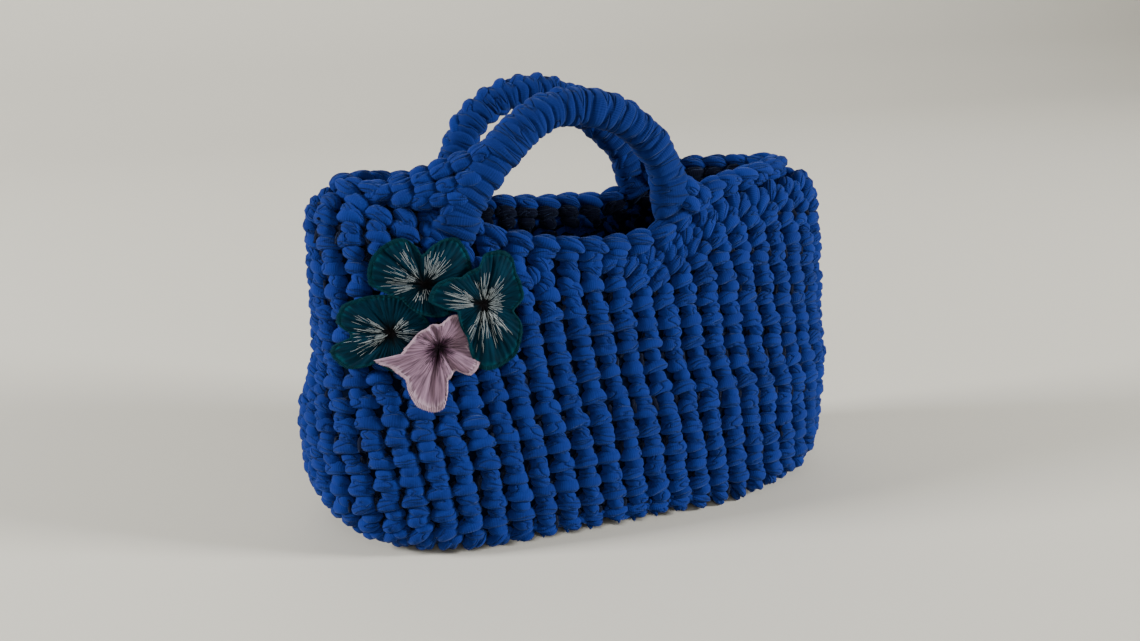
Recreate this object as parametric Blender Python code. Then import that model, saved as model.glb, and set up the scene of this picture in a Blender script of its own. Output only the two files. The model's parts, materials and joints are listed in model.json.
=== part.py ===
"""Crocheted mini bag with two wrapped arch handles and four fabric flowers.

Metres, +Z up. The bag stands on its base with its length along X and its decorated
front towards -Y. The origin is the centre of the bounding box's bottom face.
"""
import bpy
import bmesh
import math
from collections import namedtuple
from mathutils import Vector

# Driving dimensions of the body
HALF_LENGTH = 0.134
HALF_DEPTH = 0.0565
DIP_HEIGHT = 0.134
SHOULDER_RISE = 0.030
WALL = 0.009
BASE_THICKNESS = 0.009

# Driving dimensions of the edge round
RIM_WIDTH = 0.0115
RIM_HEIGHT = 0.0080
RIM_ROUND = 0.0025

# Driving dimensions of the two handles
HANDLE_SPAN = 0.0475
HANDLE_RISE = 0.0595
HANDLE_WIDTH = 0.0180
HANDLE_DEPTH = 0.0160
HANDLE_LEAN = 0.0015
FOOT_WIDTH = 0.0205
FOOT_DEPTH = 0.0085
FOOT_SPREAD = 0.0040

# Driving dimensions of the flowers
PETAL_THICKNESS = 0.0010
FLOWER_RADIUS = 0.0220
CUP = 0.0012

# Clearance that pieces which touch on the real bag keep here
GAP = 0.0003
# Room that a curved face needs over the flat facets of the piece under it
FACET_ROOM = 0.0006

# How finely the pieces are faceted
COLUMNS = 80
HANDLE_STATIONS = 20
HANDLE_SIDES = 12
SPOKES = 44

# Row of the body: its height share, then its reach to the left, right, front and back as
# shares of the half length and half depth, and how square its plan is
Row = namedtuple("Row", "height left right front back square")
BODY_ROWS = [
    Row(0.00, 0.730, 0.730, 0.90, 0.90, 3.5),
    Row(0.03, 0.835, 0.835, 0.94, 0.94, 3.4),
    Row(0.10, 0.935, 0.940, 0.98, 0.98, 3.1),
    Row(0.22, 0.992, 0.985, 1.00, 1.00, 2.8),
    Row(0.38, 1.000, 1.000, 0.98, 0.98, 2.7),
    Row(0.60, 0.945, 0.990, 0.80, 0.80, 2.7),
    Row(0.80, 0.945, 0.980, 0.73, 0.73, 2.6),
    Row(0.90, 0.945, 0.965, 0.69, 0.69, 2.4),
    Row(0.96, 0.925, 0.930, 0.65, 0.65, 2.1),
    Row(1.00, 0.855, 0.835, 0.63, 0.63, 1.8),
]
# Height shares at which the body is cut into rings
RING_HEIGHTS = [0.0, 0.03, 0.07, 0.12, 0.19, 0.27, 0.36, 0.46, 0.56, 0.67, 0.78, 0.87, 0.93, 0.97, 1.0]
# How far each ring of the base closes in from the edge to the middle line
BASE_RINGS = [0.70, 0.40, 0.15]
# The rows rise towards the rim's shape by this power of their height share
RISE_POWER = 1.6

# Crest of the rim: place along the half length, then the rise at the front and at the back
# as shares of the shoulder's rise
Crest = namedtuple("Crest", "along front back")
RIM_CREST = [
    Crest(-1.00, 1.03, 1.03),
    Crest(-0.83, 1.01, 1.02),
    Crest(-0.70, 0.97, 0.98),
    Crest(-0.58, 0.90, 0.88),
    Crest(-0.46, 0.56, 0.66),
    Crest(-0.34, 0.24, 0.42),
    Crest(-0.15, 0.07, 0.30),
    Crest(0.04, 0.00, 0.23),
    Crest(0.18, 0.06, 0.21),
    Crest(0.27, 0.30, 0.32),
    Crest(0.37, 0.60, 0.58),
    Crest(0.50, 0.77, 0.74),
    Crest(0.67, 0.84, 0.79),
    Crest(0.80, 0.85, 0.80),
    Crest(1.00, 0.85, 0.81),
]

# Arch of a handle, with its lengths as shares of the handles' span: where its middle lies
# along the bag, half the distance between its feet, how far its top is off that middle, and
# how far the top rises over the spring of the arch
Arch = namedtuple("Arch", "node side middle half lean rise")
ARCHES = [
    Arch("handle_front", -1.0, -0.310, 0.985, 0.00, 0.99),
    Arch("handle_back", 1.0, -0.126, 0.91, -0.126, 0.93),
]

# Flower: its node, colour, place along the half length, height in dip heights and layer over
# the wall
Flower = namedtuple("Flower", "node colour along height layer")
FLOWERS = [
    Flower("flower_teal_lower", "teal", -0.740, 0.772, 0),
    Flower("flower_teal_upper", "teal", -0.634, 0.921, 1),
    Flower("flower_mauve", "mauve", -0.604, 0.724, 2),
    Flower("flower_teal_right", "teal", -0.463, 0.847, 3),
]
# Petal: its flower, the way it points in degrees, its reach in flower radii and half its
# spread in degrees
Petal = namedtuple("Petal", "node turn reach spread")
PETALS = [
    Petal("flower_teal_lower", 83, 0.78, 48),
    Petal("flower_teal_lower", 145, 0.92, 44),
    Petal("flower_teal_lower", 205, 1.04, 42),
    Petal("flower_teal_lower", 262, 0.84, 46),
    Petal("flower_teal_lower", 330, 0.74, 60),
    Petal("flower_teal_lower", 25, 0.70, 50),
    Petal("flower_teal_upper", 15, 0.98, 44),
    Petal("flower_teal_upper", 62, 0.92, 42),
    Petal("flower_teal_upper", 130, 1.00, 46),
    Petal("flower_teal_upper", 178, 0.94, 40),
    Petal("flower_teal_upper", 240, 0.82, 52),
    Petal("flower_teal_upper", 305, 0.80, 52),
    Petal("flower_mauve", 95, 0.60, 70),
    Petal("flower_mauve", 190, 1.12, 26),
    Petal("flower_mauve", 257, 1.24, 42),
    Petal("flower_mauve", 322, 0.88, 34),
    Petal("flower_mauve", 20, 0.62, 50),
    Petal("flower_teal_right", 50, 1.00, 52),
    Petal("flower_teal_right", 105, 0.84, 40),
    Petal("flower_teal_right", 160, 0.95, 40),
    Petal("flower_teal_right", 215, 0.66, 44),
    Petal("flower_teal_right", 272, 1.25, 44),
    Petal("flower_teal_right", 325, 1.02, 38),
    Petal("flower_teal_right", 0, 0.84, 34),
]
LAYER_STEP = PETAL_THICKNESS + GAP + 0.5 * CUP

COLOURS = {
    "yarn": (0.010, 0.060, 0.270, 1.0),
    "teal": (0.010, 0.075, 0.090, 1.0),
    "mauve": (0.330, 0.200, 0.340, 1.0),
}
ROUGHNESS = {"yarn": 0.85, "teal": 0.80, "mauve": 0.75}


def clear_scene():
    """Remove what the file opened with."""
    for thing in list(bpy.data.objects):
        bpy.data.objects.remove(thing, do_unlink=True)


def table_value(place, places, values):
    """Smooth curve through a table, with no overshoot between its rows."""
    if place <= places[0]:
        return values[0]
    if place >= places[-1]:
        return values[-1]
    slopes = [(values[k + 1] - values[k]) / (places[k + 1] - places[k]) for k in range(len(places) - 1)]
    tangents = [slopes[0]]
    for before, after in zip(slopes, slopes[1:]):
        level = before * after <= 0.0
        tangents.append(0.0 if level else 2.0 * before * after / (before + after))
    tangents.append(slopes[-1])
    k = max(i for i in range(len(slopes)) if places[i] <= place)
    span = places[k + 1] - places[k]
    s = (place - places[k]) / span
    start = (1 + 2 * s) * (1 - s) ** 2 * values[k] + s * (1 - s) ** 2 * span * tangents[k]
    end = s * s * (3 - 2 * s) * values[k + 1] + s * s * (s - 1) * span * tangents[k + 1]
    return start + end


def body_value(height, column):
    """One column of the body's table at a height share."""
    return table_value(height, [row.height for row in BODY_ROWS], [getattr(row, column) for row in BODY_ROWS])


def reach(height, side):
    """Half length of the body at a height share, on the side that the sign names."""
    return HALF_LENGTH * body_value(height, "left" if side < 0 else "right")


def depth(height, side):
    """Half depth of the body at a height share, at the front or the back."""
    return HALF_DEPTH * body_value(height, "front" if side < 0 else "back")


def crest_height(x, y):
    """Top of the rim at a place, the front and back crests meeting at the bag's ends."""
    places = [crest.along for crest in RIM_CREST]
    front = table_value(x / HALF_LENGTH, places, [crest.front for crest in RIM_CREST])
    back = table_value(x / HALF_LENGTH, places, [crest.back for crest in RIM_CREST])
    share = 0.5 + 0.5 * math.tanh(y / (0.2 * HALF_DEPTH))
    return DIP_HEIGHT + SHOULDER_RISE * (front + (back - front) * share)


def row_height(height, x, y):
    """Height above the ground of the outer wall at a height share."""
    top = DIP_HEIGHT - RIM_HEIGHT - GAP
    on_crest = x * reach(1.0, x) / reach(height, x)
    rise = crest_height(on_crest, y) - DIP_HEIGHT
    return height * top + rise * height ** RISE_POWER


def plan_point(height, angle):
    """Place in plan of the outer wall at a height share and an angle round the bag."""
    c = math.cos(angle)
    s = math.sin(angle)
    power = 2.0 / body_value(height, "square")
    x = reach(height, c) * math.copysign(abs(c) ** power, c)
    y = depth(height, s) * math.copysign(abs(s) ** power, s)
    return x, y


def outer_point(height, angle):
    """Point of the outer wall."""
    x, y = plan_point(height, angle)
    return Vector((x, y, row_height(height, x, y)))


def plan_normal(height, angle):
    """Level outward direction of the wall."""
    step = math.tau / 720
    x0, y0 = plan_point(height, angle - step)
    x1, y1 = plan_point(height, angle + step)
    return Vector((y1 - y0, x0 - x1, 0.0)).normalized()


def wall_normal(height, angle):
    """Outward direction of the wall, level at the crest."""
    step = 0.01
    low = max(0.0, height - step)
    high = min(1.0, height + step)
    upward = outer_point(high, angle) - outer_point(low, angle)
    along = plan_normal(height, angle).cross(Vector((0.0, 0.0, 1.0)))
    slanted = upward.cross(along).normalized()
    if slanted.dot(plan_normal(height, angle)) < 0.0:
        slanted.negate()
    level = plan_normal(height, angle)
    ease = min(1.0, max(0.0, (height - 0.8) / 0.2))
    return slanted.lerp(level, ease).normalized()


def front_wall(x, z):
    """Outer point and outward direction of the front wall at a place seen from the front."""
    low = 0.0
    high = 1.0
    for _ in range(40):
        middle = 0.5 * (low + high)
        if row_height(middle, x, -HALF_DEPTH) < z:
            low = middle
        else:
            high = middle
    power = body_value(low, "square")

    def surface(share, place):
        """Point of the front wall at a height share and a place along the length."""
        part = min(1.0, abs(place) / reach(share, place))
        y = -depth(share, -1.0) * (1.0 - part ** power) ** (1.0 / power)
        return Vector((place, y, row_height(share, place, -HALF_DEPTH)))

    step = 0.002
    across = surface(low, x + step) - surface(low, x - step)
    upward = surface(min(1.0, low + step), x) - surface(max(0.0, low - step), x)
    return surface(low, x), across.cross(upward).normalized()


def make_material(name):
    """Principled material of one of the colours."""
    material = bpy.data.materials.new(name)
    material.use_nodes = True
    shader = material.node_tree.nodes["Principled BSDF"]
    shader.inputs["Base Color"].default_value = COLOURS[name]
    shader.inputs["Roughness"].default_value = ROUGHNESS[name]
    shader.inputs["Metallic"].default_value = 0.0
    material.diffuse_color = COLOURS[name]
    return material


def finish_object(bm, name, material, collection):
    """Turn a bmesh into a named object with outward faces."""
    bmesh.ops.recalc_face_normals(bm, faces=bm.faces)
    mesh = bpy.data.meshes.new(name)
    bm.to_mesh(mesh)
    bm.free()
    mesh.materials.append(material)
    piece = bpy.data.objects.new(name, mesh)
    collection.objects.link(piece)
    return piece


def bridge(bm, ring, following):
    """Faces between two closed rings of vertices."""
    count = len(ring)
    for k in range(count):
        after = (k + 1) % count
        bm.faces.new((ring[k], ring[after], following[after], following[k]))


def add_ring(bm, points):
    """Vertices of one closed ring."""
    return [bm.verts.new(point) for point in points]


def column_angles():
    """Angles of the columns round the bag."""
    return [math.tau * k / COLUMNS for k in range(COLUMNS)]


def base_ring(share, z):
    """Ring of the base that has closed in on the middle line, as an oval worked in rounds does."""
    points = []
    inset = depth(0.0, -1.0) * (1.0 - share)
    for angle in column_angles():
        x, y = plan_point(0.0, angle)
        narrowed = x * (1.0 - inset / reach(0.0, x))
        points.append(Vector((narrowed, y * share, z)))
    return points


def inner_point(height, angle):
    """Point of the inner wall, a wall's thickness inside the outer one."""
    point = outer_point(height, angle) - wall_normal(height, angle) * WALL
    if height == 0.0:
        x, y = plan_point(0.0, angle)
        level = plan_normal(0.0, angle)
        point = Vector((x, y, BASE_THICKNESS)) - level * (0.4 * WALL)
    if height == 1.0:
        point.z = crest_height(point.x, point.y) - RIM_HEIGHT - GAP
    return point


def crest_point(height, angle):
    """Point of the outer wall, its top cut to the crest."""
    point = outer_point(height, angle)
    if height == 1.0:
        point.z = crest_height(point.x, point.y) - RIM_HEIGHT - GAP
    return point


def make_body(material, collection):
    """The bag's hollow wall and base in one crocheted piece."""
    bm = bmesh.new()
    rings = []
    for share in reversed(BASE_RINGS):
        rings.append(add_ring(bm, base_ring(share, 0.0)))
    for height in RING_HEIGHTS:
        rings.append(add_ring(bm, [crest_point(height, angle) for angle in column_angles()]))
    for height in reversed(RING_HEIGHTS):
        rings.append(add_ring(bm, [inner_point(height, angle) for angle in column_angles()]))
    for share in BASE_RINGS:
        rings.append(add_ring(bm, base_ring(share * 0.93, BASE_THICKNESS)))
    for ring, following in zip(rings, rings[1:]):
        bridge(bm, ring, following)
    bm.faces.new(rings[0])
    bm.faces.new(rings[-1])
    return finish_object(bm, "bag_body", material, collection)


def rim_section():
    """Section of the edge round as steps outward from the wall's middle and up from its crest."""
    half = 0.5 * RIM_WIDTH
    return [
        (half - RIM_ROUND, -RIM_HEIGHT),
        (half, -RIM_HEIGHT + RIM_ROUND),
        (half, -RIM_ROUND),
        (half - RIM_ROUND, 0.0),
        (-half + RIM_ROUND, 0.0),
        (-half, -RIM_ROUND),
        (-half, -RIM_HEIGHT + RIM_ROUND),
        (-half + RIM_ROUND, -RIM_HEIGHT),
    ]


def make_rim(material, collection):
    """The last round, worked along the top edge of the wall."""
    bm = bmesh.new()
    rings = []
    for outward, upward in rim_section():
        points = []
        for angle in column_angles():
            x, y = plan_point(1.0, angle)
            level = plan_normal(1.0, angle)
            point = Vector((x, y, 0.0)) + level * (outward - 0.5 * WALL)
            point.z = crest_height(point.x, point.y) + upward
            points.append(point)
        rings.append(add_ring(bm, points))
    for ring, following in zip(rings, rings[1:] + rings[:1]):
        bridge(bm, ring, following)
    return finish_object(bm, "rim_round", material, collection)


def crest_line(x, side):
    """Place across the bag of the middle of the rim at a place along its length."""
    angles = [math.pi * k / 180 for k in range(1, 180)]
    best = None
    for angle in angles:
        px, py = plan_point(1.0, side * angle)
        level = plan_normal(1.0, side * angle)
        qx = px - level.x * 0.5 * WALL
        qy = py - level.y * 0.5 * WALL
        if best is None or abs(qx - x) < abs(best[0] - x):
            best = (qx, qy)
    return best[1]


def arch_point(arch, u):
    """Middle of a handle and its outward direction in the arch's plane, at an angle along it."""
    top = DIP_HEIGHT + HANDLE_RISE
    step = 0.001

    def place(angle):
        """Point of the arch's middle line, seen from the front."""
        x = arch.middle - arch.half * math.cos(angle) + arch.lean * math.sin(angle)
        z = arch.rise * (math.sin(angle) - 1.0)
        return x * HANDLE_SPAN, top + z * HANDLE_SPAN

    x, z = place(u)
    x0, z0 = place(u - step)
    x1, z1 = place(u + step)
    length = math.hypot(x1 - x0, z1 - z0)
    return x, z, -(z1 - z0) / length, (x1 - x0) / length


def handle_ring(arch, u, width, thick):
    """Ring of a handle at an angle along its arch, its width in the arch's plane."""
    foot_left = crest_line(arch_point(arch, 0.0)[0], arch.side)
    foot_right = crest_line(arch_point(arch, math.pi)[0], arch.side)
    share = 0.5 - 0.5 * math.cos(u)
    y_foot = foot_left + (foot_right - foot_left) * share
    y = y_foot + arch.side * HANDLE_LEAN * math.sin(u)
    x, z, out_x, out_z = arch_point(arch, u)
    points = []
    for k in range(HANDLE_SIDES):
        turn = math.tau * k / HANDLE_SIDES
        out = 0.5 * width * math.cos(turn)
        points.append(Vector((x + out * out_x, y + 0.5 * thick * math.sin(turn), z + out * out_z)))
    return points


def foot_ring(arch, u):
    """End of a handle where it stands on the rim."""
    seat = GAP + FACET_ROOM
    spread = -FOOT_SPREAD if u < 0.5 * math.pi else FOOT_SPREAD
    points = []
    for point in handle_ring(arch, u, FOOT_WIDTH, FOOT_DEPTH):
        x = point.x + spread
        points.append(Vector((x, point.y, crest_height(x, point.y) + seat)))
    return points


def make_handle(arch, material, collection):
    """An arch of wound yarn whose feet stand on the rim."""
    bm = bmesh.new()
    first = math.radians(16)
    rings = [add_ring(bm, foot_ring(arch, first))]
    for k in range(HANDLE_STATIONS):
        u = first + (math.pi - 2 * first) * k / (HANDLE_STATIONS - 1)
        closeness = abs(math.cos(u)) ** 5
        width = HANDLE_WIDTH + (FOOT_WIDTH - HANDLE_WIDTH) * closeness
        thick = HANDLE_DEPTH + (FOOT_DEPTH - HANDLE_DEPTH) * closeness
        rings.append(add_ring(bm, handle_ring(arch, u, width, thick)))
    rings.append(add_ring(bm, foot_ring(arch, math.pi - first)))
    for ring, following in zip(rings, rings[1:]):
        bridge(bm, ring, following)
    bm.faces.new(rings[0])
    bm.faces.new(rings[-1])
    return finish_object(bm, arch.node, material, collection)


def petal_radius(flower, angle):
    """Distance from a flower's middle to its edge, with a notch where two petals cross."""
    best = 0.3
    for petal in PETALS:
        if petal.node != flower.node:
            continue
        off = (math.degrees(angle) - petal.turn + 180.0) % 360.0 - 180.0
        if abs(off) < petal.spread:
            best = max(best, petal.reach * (1.0 - 0.75 * (off / petal.spread) ** 4))
    return FLOWER_RADIUS * best


def petal_lift(angle, share):
    """How far a petal stands off its layer, cupped and ruffled towards its edge."""
    wave = 0.5 + 0.5 * math.sin(6.0 * angle)
    return CUP * share ** 2 * (0.35 + 0.65 * wave)


def make_flower(flower, material, collection):
    """A flat fabric flower with ruffled petals, laid on the front wall."""
    bm = bmesh.new()
    centre_x = flower.along * HALF_LENGTH
    centre_z = flower.height * DIP_HEIGHT
    shares = [0.12, 0.42, 0.72, 1.00]
    base = GAP + FACET_ROOM + flower.layer * LAYER_STEP

    def sheet_ring(share, thickness):
        """Ring of one face of the sheet."""
        points = []
        for k in range(SPOKES):
            angle = math.tau * k / SPOKES
            radius = petal_radius(flower, angle) * share
            x = centre_x + radius * math.cos(angle)
            z = centre_z + radius * math.sin(angle)
            place, outward = front_wall(x, z)
            lift = base + thickness + petal_lift(angle, share)
            points.append(place + outward * lift)
        return add_ring(bm, points)

    rings = [sheet_ring(share, PETAL_THICKNESS) for share in shares]
    rings += [sheet_ring(share, 0.0) for share in reversed(shares)]
    for ring, following in zip(rings, rings[1:]):
        bridge(bm, ring, following)
    bm.faces.new(rings[0])
    bm.faces.new(rings[-1])
    return finish_object(bm, flower.node, material, collection)


def main():
    """Build every piece of the bag."""
    clear_scene()
    collection = bpy.data.collections.new("mini_bag")
    bpy.context.scene.collection.children.link(collection)
    yarn = make_material("yarn")
    make_body(yarn, collection)
    make_rim(yarn.copy(), collection)
    for arch in ARCHES:
        make_handle(arch, yarn.copy(), collection)
    for flower in FLOWERS:
        make_flower(flower, make_material(flower.colour), collection)


main()
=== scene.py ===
# %% [markdown]
# # A crocheted mini bag
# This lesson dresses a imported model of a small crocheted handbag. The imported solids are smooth:
# a hollow body, a rim, two arches and four thin sheets. The real bag is made of hundreds of fat
# loops of jersey yarn, so most of this lesson is about laying loops in rounds along a curved wall.

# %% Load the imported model
import json
import math
import random
import bpy
import bmesh
import numpy as np
from collections import namedtuple
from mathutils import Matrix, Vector

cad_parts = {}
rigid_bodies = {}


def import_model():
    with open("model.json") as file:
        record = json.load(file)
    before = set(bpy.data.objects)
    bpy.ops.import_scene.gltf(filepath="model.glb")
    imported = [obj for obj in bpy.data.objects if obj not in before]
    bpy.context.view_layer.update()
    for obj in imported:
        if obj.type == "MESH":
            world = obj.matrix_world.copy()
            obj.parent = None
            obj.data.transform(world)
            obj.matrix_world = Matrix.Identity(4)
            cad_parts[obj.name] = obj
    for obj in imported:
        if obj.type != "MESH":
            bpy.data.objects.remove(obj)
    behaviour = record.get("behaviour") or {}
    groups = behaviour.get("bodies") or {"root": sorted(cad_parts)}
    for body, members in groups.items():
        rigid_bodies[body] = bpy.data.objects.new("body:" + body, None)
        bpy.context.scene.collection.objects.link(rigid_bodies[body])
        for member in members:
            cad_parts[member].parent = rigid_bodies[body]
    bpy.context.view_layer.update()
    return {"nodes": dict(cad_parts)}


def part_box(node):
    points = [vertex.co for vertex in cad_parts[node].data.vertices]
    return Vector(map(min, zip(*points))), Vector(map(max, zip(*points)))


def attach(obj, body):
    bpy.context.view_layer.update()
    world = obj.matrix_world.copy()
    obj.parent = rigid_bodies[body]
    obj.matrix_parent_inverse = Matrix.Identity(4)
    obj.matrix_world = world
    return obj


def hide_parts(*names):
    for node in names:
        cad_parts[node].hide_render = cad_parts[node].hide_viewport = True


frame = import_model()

BODY_LOW, BODY_HIGH = [Vector(corner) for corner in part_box("bag_body")]
RIM_LOW, RIM_HIGH = [Vector(corner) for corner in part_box("rim_round")]
ARCH_LOW, ARCH_HIGH = [Vector(corner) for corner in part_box("handle_front")]
print("nodes:", len(frame["nodes"]))

# %% [markdown]
# ## The camera
# The photograph looks at the bag from its front left and a little above. A camera that aims at a
# point inside the bag and is set back along one direction is the simplest thing to describe: two
# angles and a distance. It comes first.

# %% Camera
VIEW_AZIMUTH = math.radians(23.0)
VIEW_ELEVATION = math.radians(17.5)
VIEW_DISTANCE = 0.60
VIEW_TARGET = Vector((-0.003, 0.0, 0.087))
IMAGE_WIDTH = 1140
FOCAL_PIXELS = 1250.0

camera_data = bpy.data.cameras.new("camera")
camera_data.sensor_width = 36.0
camera_data.lens = FOCAL_PIXELS / IMAGE_WIDTH * camera_data.sensor_width
camera_data.clip_start = 0.01
camera_data.clip_end = 50.0
camera = bpy.data.objects.new("camera", camera_data)
bpy.context.scene.collection.objects.link(camera)
set_back = Vector((
    -math.sin(VIEW_AZIMUTH) * math.cos(VIEW_ELEVATION),
    -math.cos(VIEW_AZIMUTH) * math.cos(VIEW_ELEVATION),
    math.sin(VIEW_ELEVATION),
))
camera.location = VIEW_TARGET + set_back * VIEW_DISTANCE
camera.rotation_euler = (-set_back).to_track_quat("-Z", "Y").to_euler()
bpy.context.scene.camera = camera
print("lens:", round(camera_data.lens, 2), "mm")

# %% [markdown]
# ## The shape of the wall
# The crochet follows the bag's own surface, so the lesson needs that surface as a function. The
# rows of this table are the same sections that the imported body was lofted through, as shares of
# its half length and half depth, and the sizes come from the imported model's boxes.

# %% Sections of the wall
HALF_LENGTH = 0.5 * (BODY_HIGH.x - BODY_LOW.x)
HALF_DEPTH = 0.5 * (BODY_HIGH.y - BODY_LOW.y)
RIM_DROP = 0.0083
CREST_LOW = RIM_LOW.z + RIM_DROP - 0.0003
SHOULDER_RISE = (RIM_HIGH.z - CREST_LOW) / 1.02
WALL = 0.009
RISE_POWER = 1.6

Row = namedtuple("Row", "height left right depth square")
BODY_ROWS = [
    Row(0.00, 0.730, 0.730, 0.90, 3.5),
    Row(0.03, 0.835, 0.835, 0.94, 3.4),
    Row(0.10, 0.935, 0.940, 0.98, 3.1),
    Row(0.22, 0.992, 0.985, 1.00, 2.8),
    Row(0.38, 1.000, 1.000, 0.98, 2.7),
    Row(0.60, 0.945, 0.990, 0.80, 2.7),
    Row(0.80, 0.945, 0.980, 0.73, 2.6),
    Row(0.90, 0.945, 0.965, 0.69, 2.4),
    Row(0.96, 0.925, 0.930, 0.65, 2.1),
    Row(1.00, 0.855, 0.835, 0.63, 1.8),
]
Crest = namedtuple("Crest", "along front back")
RIM_CREST = [
    Crest(-1.00, 1.03, 1.03),
    Crest(-0.83, 1.01, 1.02),
    Crest(-0.70, 0.97, 0.98),
    Crest(-0.58, 0.90, 0.88),
    Crest(-0.46, 0.56, 0.66),
    Crest(-0.34, 0.24, 0.42),
    Crest(-0.15, 0.07, 0.30),
    Crest(0.04, 0.00, 0.23),
    Crest(0.18, 0.06, 0.21),
    Crest(0.27, 0.30, 0.32),
    Crest(0.37, 0.60, 0.58),
    Crest(0.50, 0.77, 0.74),
    Crest(0.67, 0.84, 0.79),
    Crest(0.80, 0.85, 0.80),
    Crest(1.00, 0.85, 0.81),
]


def smooth_table(places, values):
    """Curve through a table's rows with no overshoot between them, for whole arrays."""
    px = np.array(places, float)
    py = np.array(values, float)
    slope = np.diff(py) / np.diff(px)
    tangent = np.empty_like(py)
    tangent[0] = slope[0]
    tangent[-1] = slope[-1]
    product = slope[:-1] * slope[1:]
    total = slope[:-1] + slope[1:]
    safe = np.where(product > 0.0, total, 1.0)
    tangent[1:-1] = np.where(product > 0.0, 2.0 * product / safe, 0.0)

    def curve(at):
        at = np.clip(np.asarray(at, float), px[0], px[-1])
        k = np.clip(np.searchsorted(px, at, side="right") - 1, 0, len(slope) - 1)
        span = px[k + 1] - px[k]
        s = (at - px[k]) / span
        start = (1 + 2 * s) * (1 - s) ** 2 * py[k] + s * (1 - s) ** 2 * span * tangent[k]
        end = s * s * (3 - 2 * s) * py[k + 1] + s * s * (s - 1) * span * tangent[k + 1]
        return start + end

    return curve


HEIGHTS = [row.height for row in BODY_ROWS]
left_share = smooth_table(HEIGHTS, [row.left for row in BODY_ROWS])
right_share = smooth_table(HEIGHTS, [row.right for row in BODY_ROWS])
depth_share = smooth_table(HEIGHTS, [row.depth for row in BODY_ROWS])
square = smooth_table(HEIGHTS, [row.square for row in BODY_ROWS])
front_crest = smooth_table([row.along for row in RIM_CREST], [row.front for row in RIM_CREST])
back_crest = smooth_table([row.along for row in RIM_CREST], [row.back for row in RIM_CREST])


def reach(height, side):
    """Half length of the wall at a height share, on the side that the sign names."""
    return HALF_LENGTH * np.where(np.asarray(side) < 0, left_share(height), right_share(height))


def crest_height(x, y):
    """Top of the rim at a place in plan."""
    front = front_crest(x / HALF_LENGTH)
    back = back_crest(x / HALF_LENGTH)
    share = 0.5 + 0.5 * np.tanh(y / (0.2 * HALF_DEPTH))
    return CREST_LOW + SHOULDER_RISE * (front + (back - front) * share)


def wall_point(height, angle):
    """Points of the outer wall at height shares and angles round the bag."""
    height = np.asarray(height, float)
    angle = np.asarray(angle, float)
    c = np.cos(angle)
    s = np.sin(angle)
    power = 2.0 / square(height)
    length = reach(height, c)
    x = length * np.sign(c) * np.abs(c) ** power
    y = HALF_DEPTH * depth_share(height) * np.sign(s) * np.abs(s) ** power
    on_crest = x * reach(1.0, x) / length
    rise = crest_height(on_crest, y) - CREST_LOW
    z = height * (CREST_LOW - RIM_DROP) + rise * height ** RISE_POWER
    return np.stack([x, y, z], -1)


def wall_frame(height, angle):
    """Point, direction to the right, direction up and outward direction of the wall."""
    step = 0.004
    low = np.clip(np.asarray(height, float) - step, 0.0, 1.0)
    high = np.clip(np.asarray(height, float) + step, 0.0, 1.0)
    place = wall_point(height, angle)
    along = wall_point(height, angle + step) - wall_point(height, angle - step)
    along /= np.linalg.norm(along, axis=-1, keepdims=True)
    upward = wall_point(high, angle) - wall_point(low, angle)
    upward /= np.linalg.norm(upward, axis=-1, keepdims=True)
    outward = np.cross(along, upward)
    outward /= np.linalg.norm(outward, axis=-1, keepdims=True)
    return place, along, upward, outward


print("body:", round(2 * HALF_LENGTH, 3), "x", round(2 * HALF_DEPTH, 3), "m, dip at", round(CREST_LOW, 3))

# %% [markdown]
# ## Jersey yarn
# The yarn is a strip of cotton jersey that curls into a soft tube. It is matt, deep blue, and its
# surface has long folds that run with the strand and a very fine knitted rib. The folds are a noise
# stretched along each strand's own map, so every loop is creased the way it is pulled. Along the
# crease lines the colour is also pulled towards the deep blue, as painted shade in the folds. Each
# loop also carries a number called tone, and the material lightens or darkens it a little by that.

# %% Yarn material
YARN_DEEP = (0.0010, 0.0055, 0.0500, 1.0)
YARN_LIGHT = (0.0034, 0.0190, 0.1590, 1.0)
# painted shade: the handles are wound with the same yarn as the wall; its light colour is made darker here to tone down
# their lit tops
WOUND_LIGHT_SHADED = (0.0028, 0.0172, 0.1390, 1.0)
# painted shade: the inside of the bag is the same blue yarn, made near-black here to stand for the shade inside it
INSIDE_SHADED_DEEP = (0.0001, 0.0005, 0.0040, 1.0)
INSIDE_SHADED_LIGHT = (0.0004, 0.0016, 0.0120, 1.0)


def new_material(name, roughness):
    """Material with its shader, ready for links."""
    material = bpy.data.materials.new(name)
    material.use_nodes = True
    shader = material.node_tree.nodes["Principled BSDF"]
    shader.inputs["Roughness"].default_value = roughness
    return material, material.node_tree.nodes, material.node_tree.links, shader


def set_ramp(node, stops):
    """Fill a colour ramp from pairs of place and colour."""
    ramp = node.color_ramp
    while len(ramp.elements) > 1:
        ramp.elements.remove(ramp.elements[-1])
    ramp.elements[0].position = stops[0][0]
    ramp.elements[0].color = stops[0][1]
    for place, colour in stops[1:]:
        ramp.elements.new(place).color = colour


def math_node(nodes, operation, *values):
    """Math node whose unlinked inputs hold the given values."""
    node = nodes.new("ShaderNodeMath")
    node.operation = operation
    for socket, value in zip(node.inputs, values):
        if value is not None:
            socket.default_value = value
    return node


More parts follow.
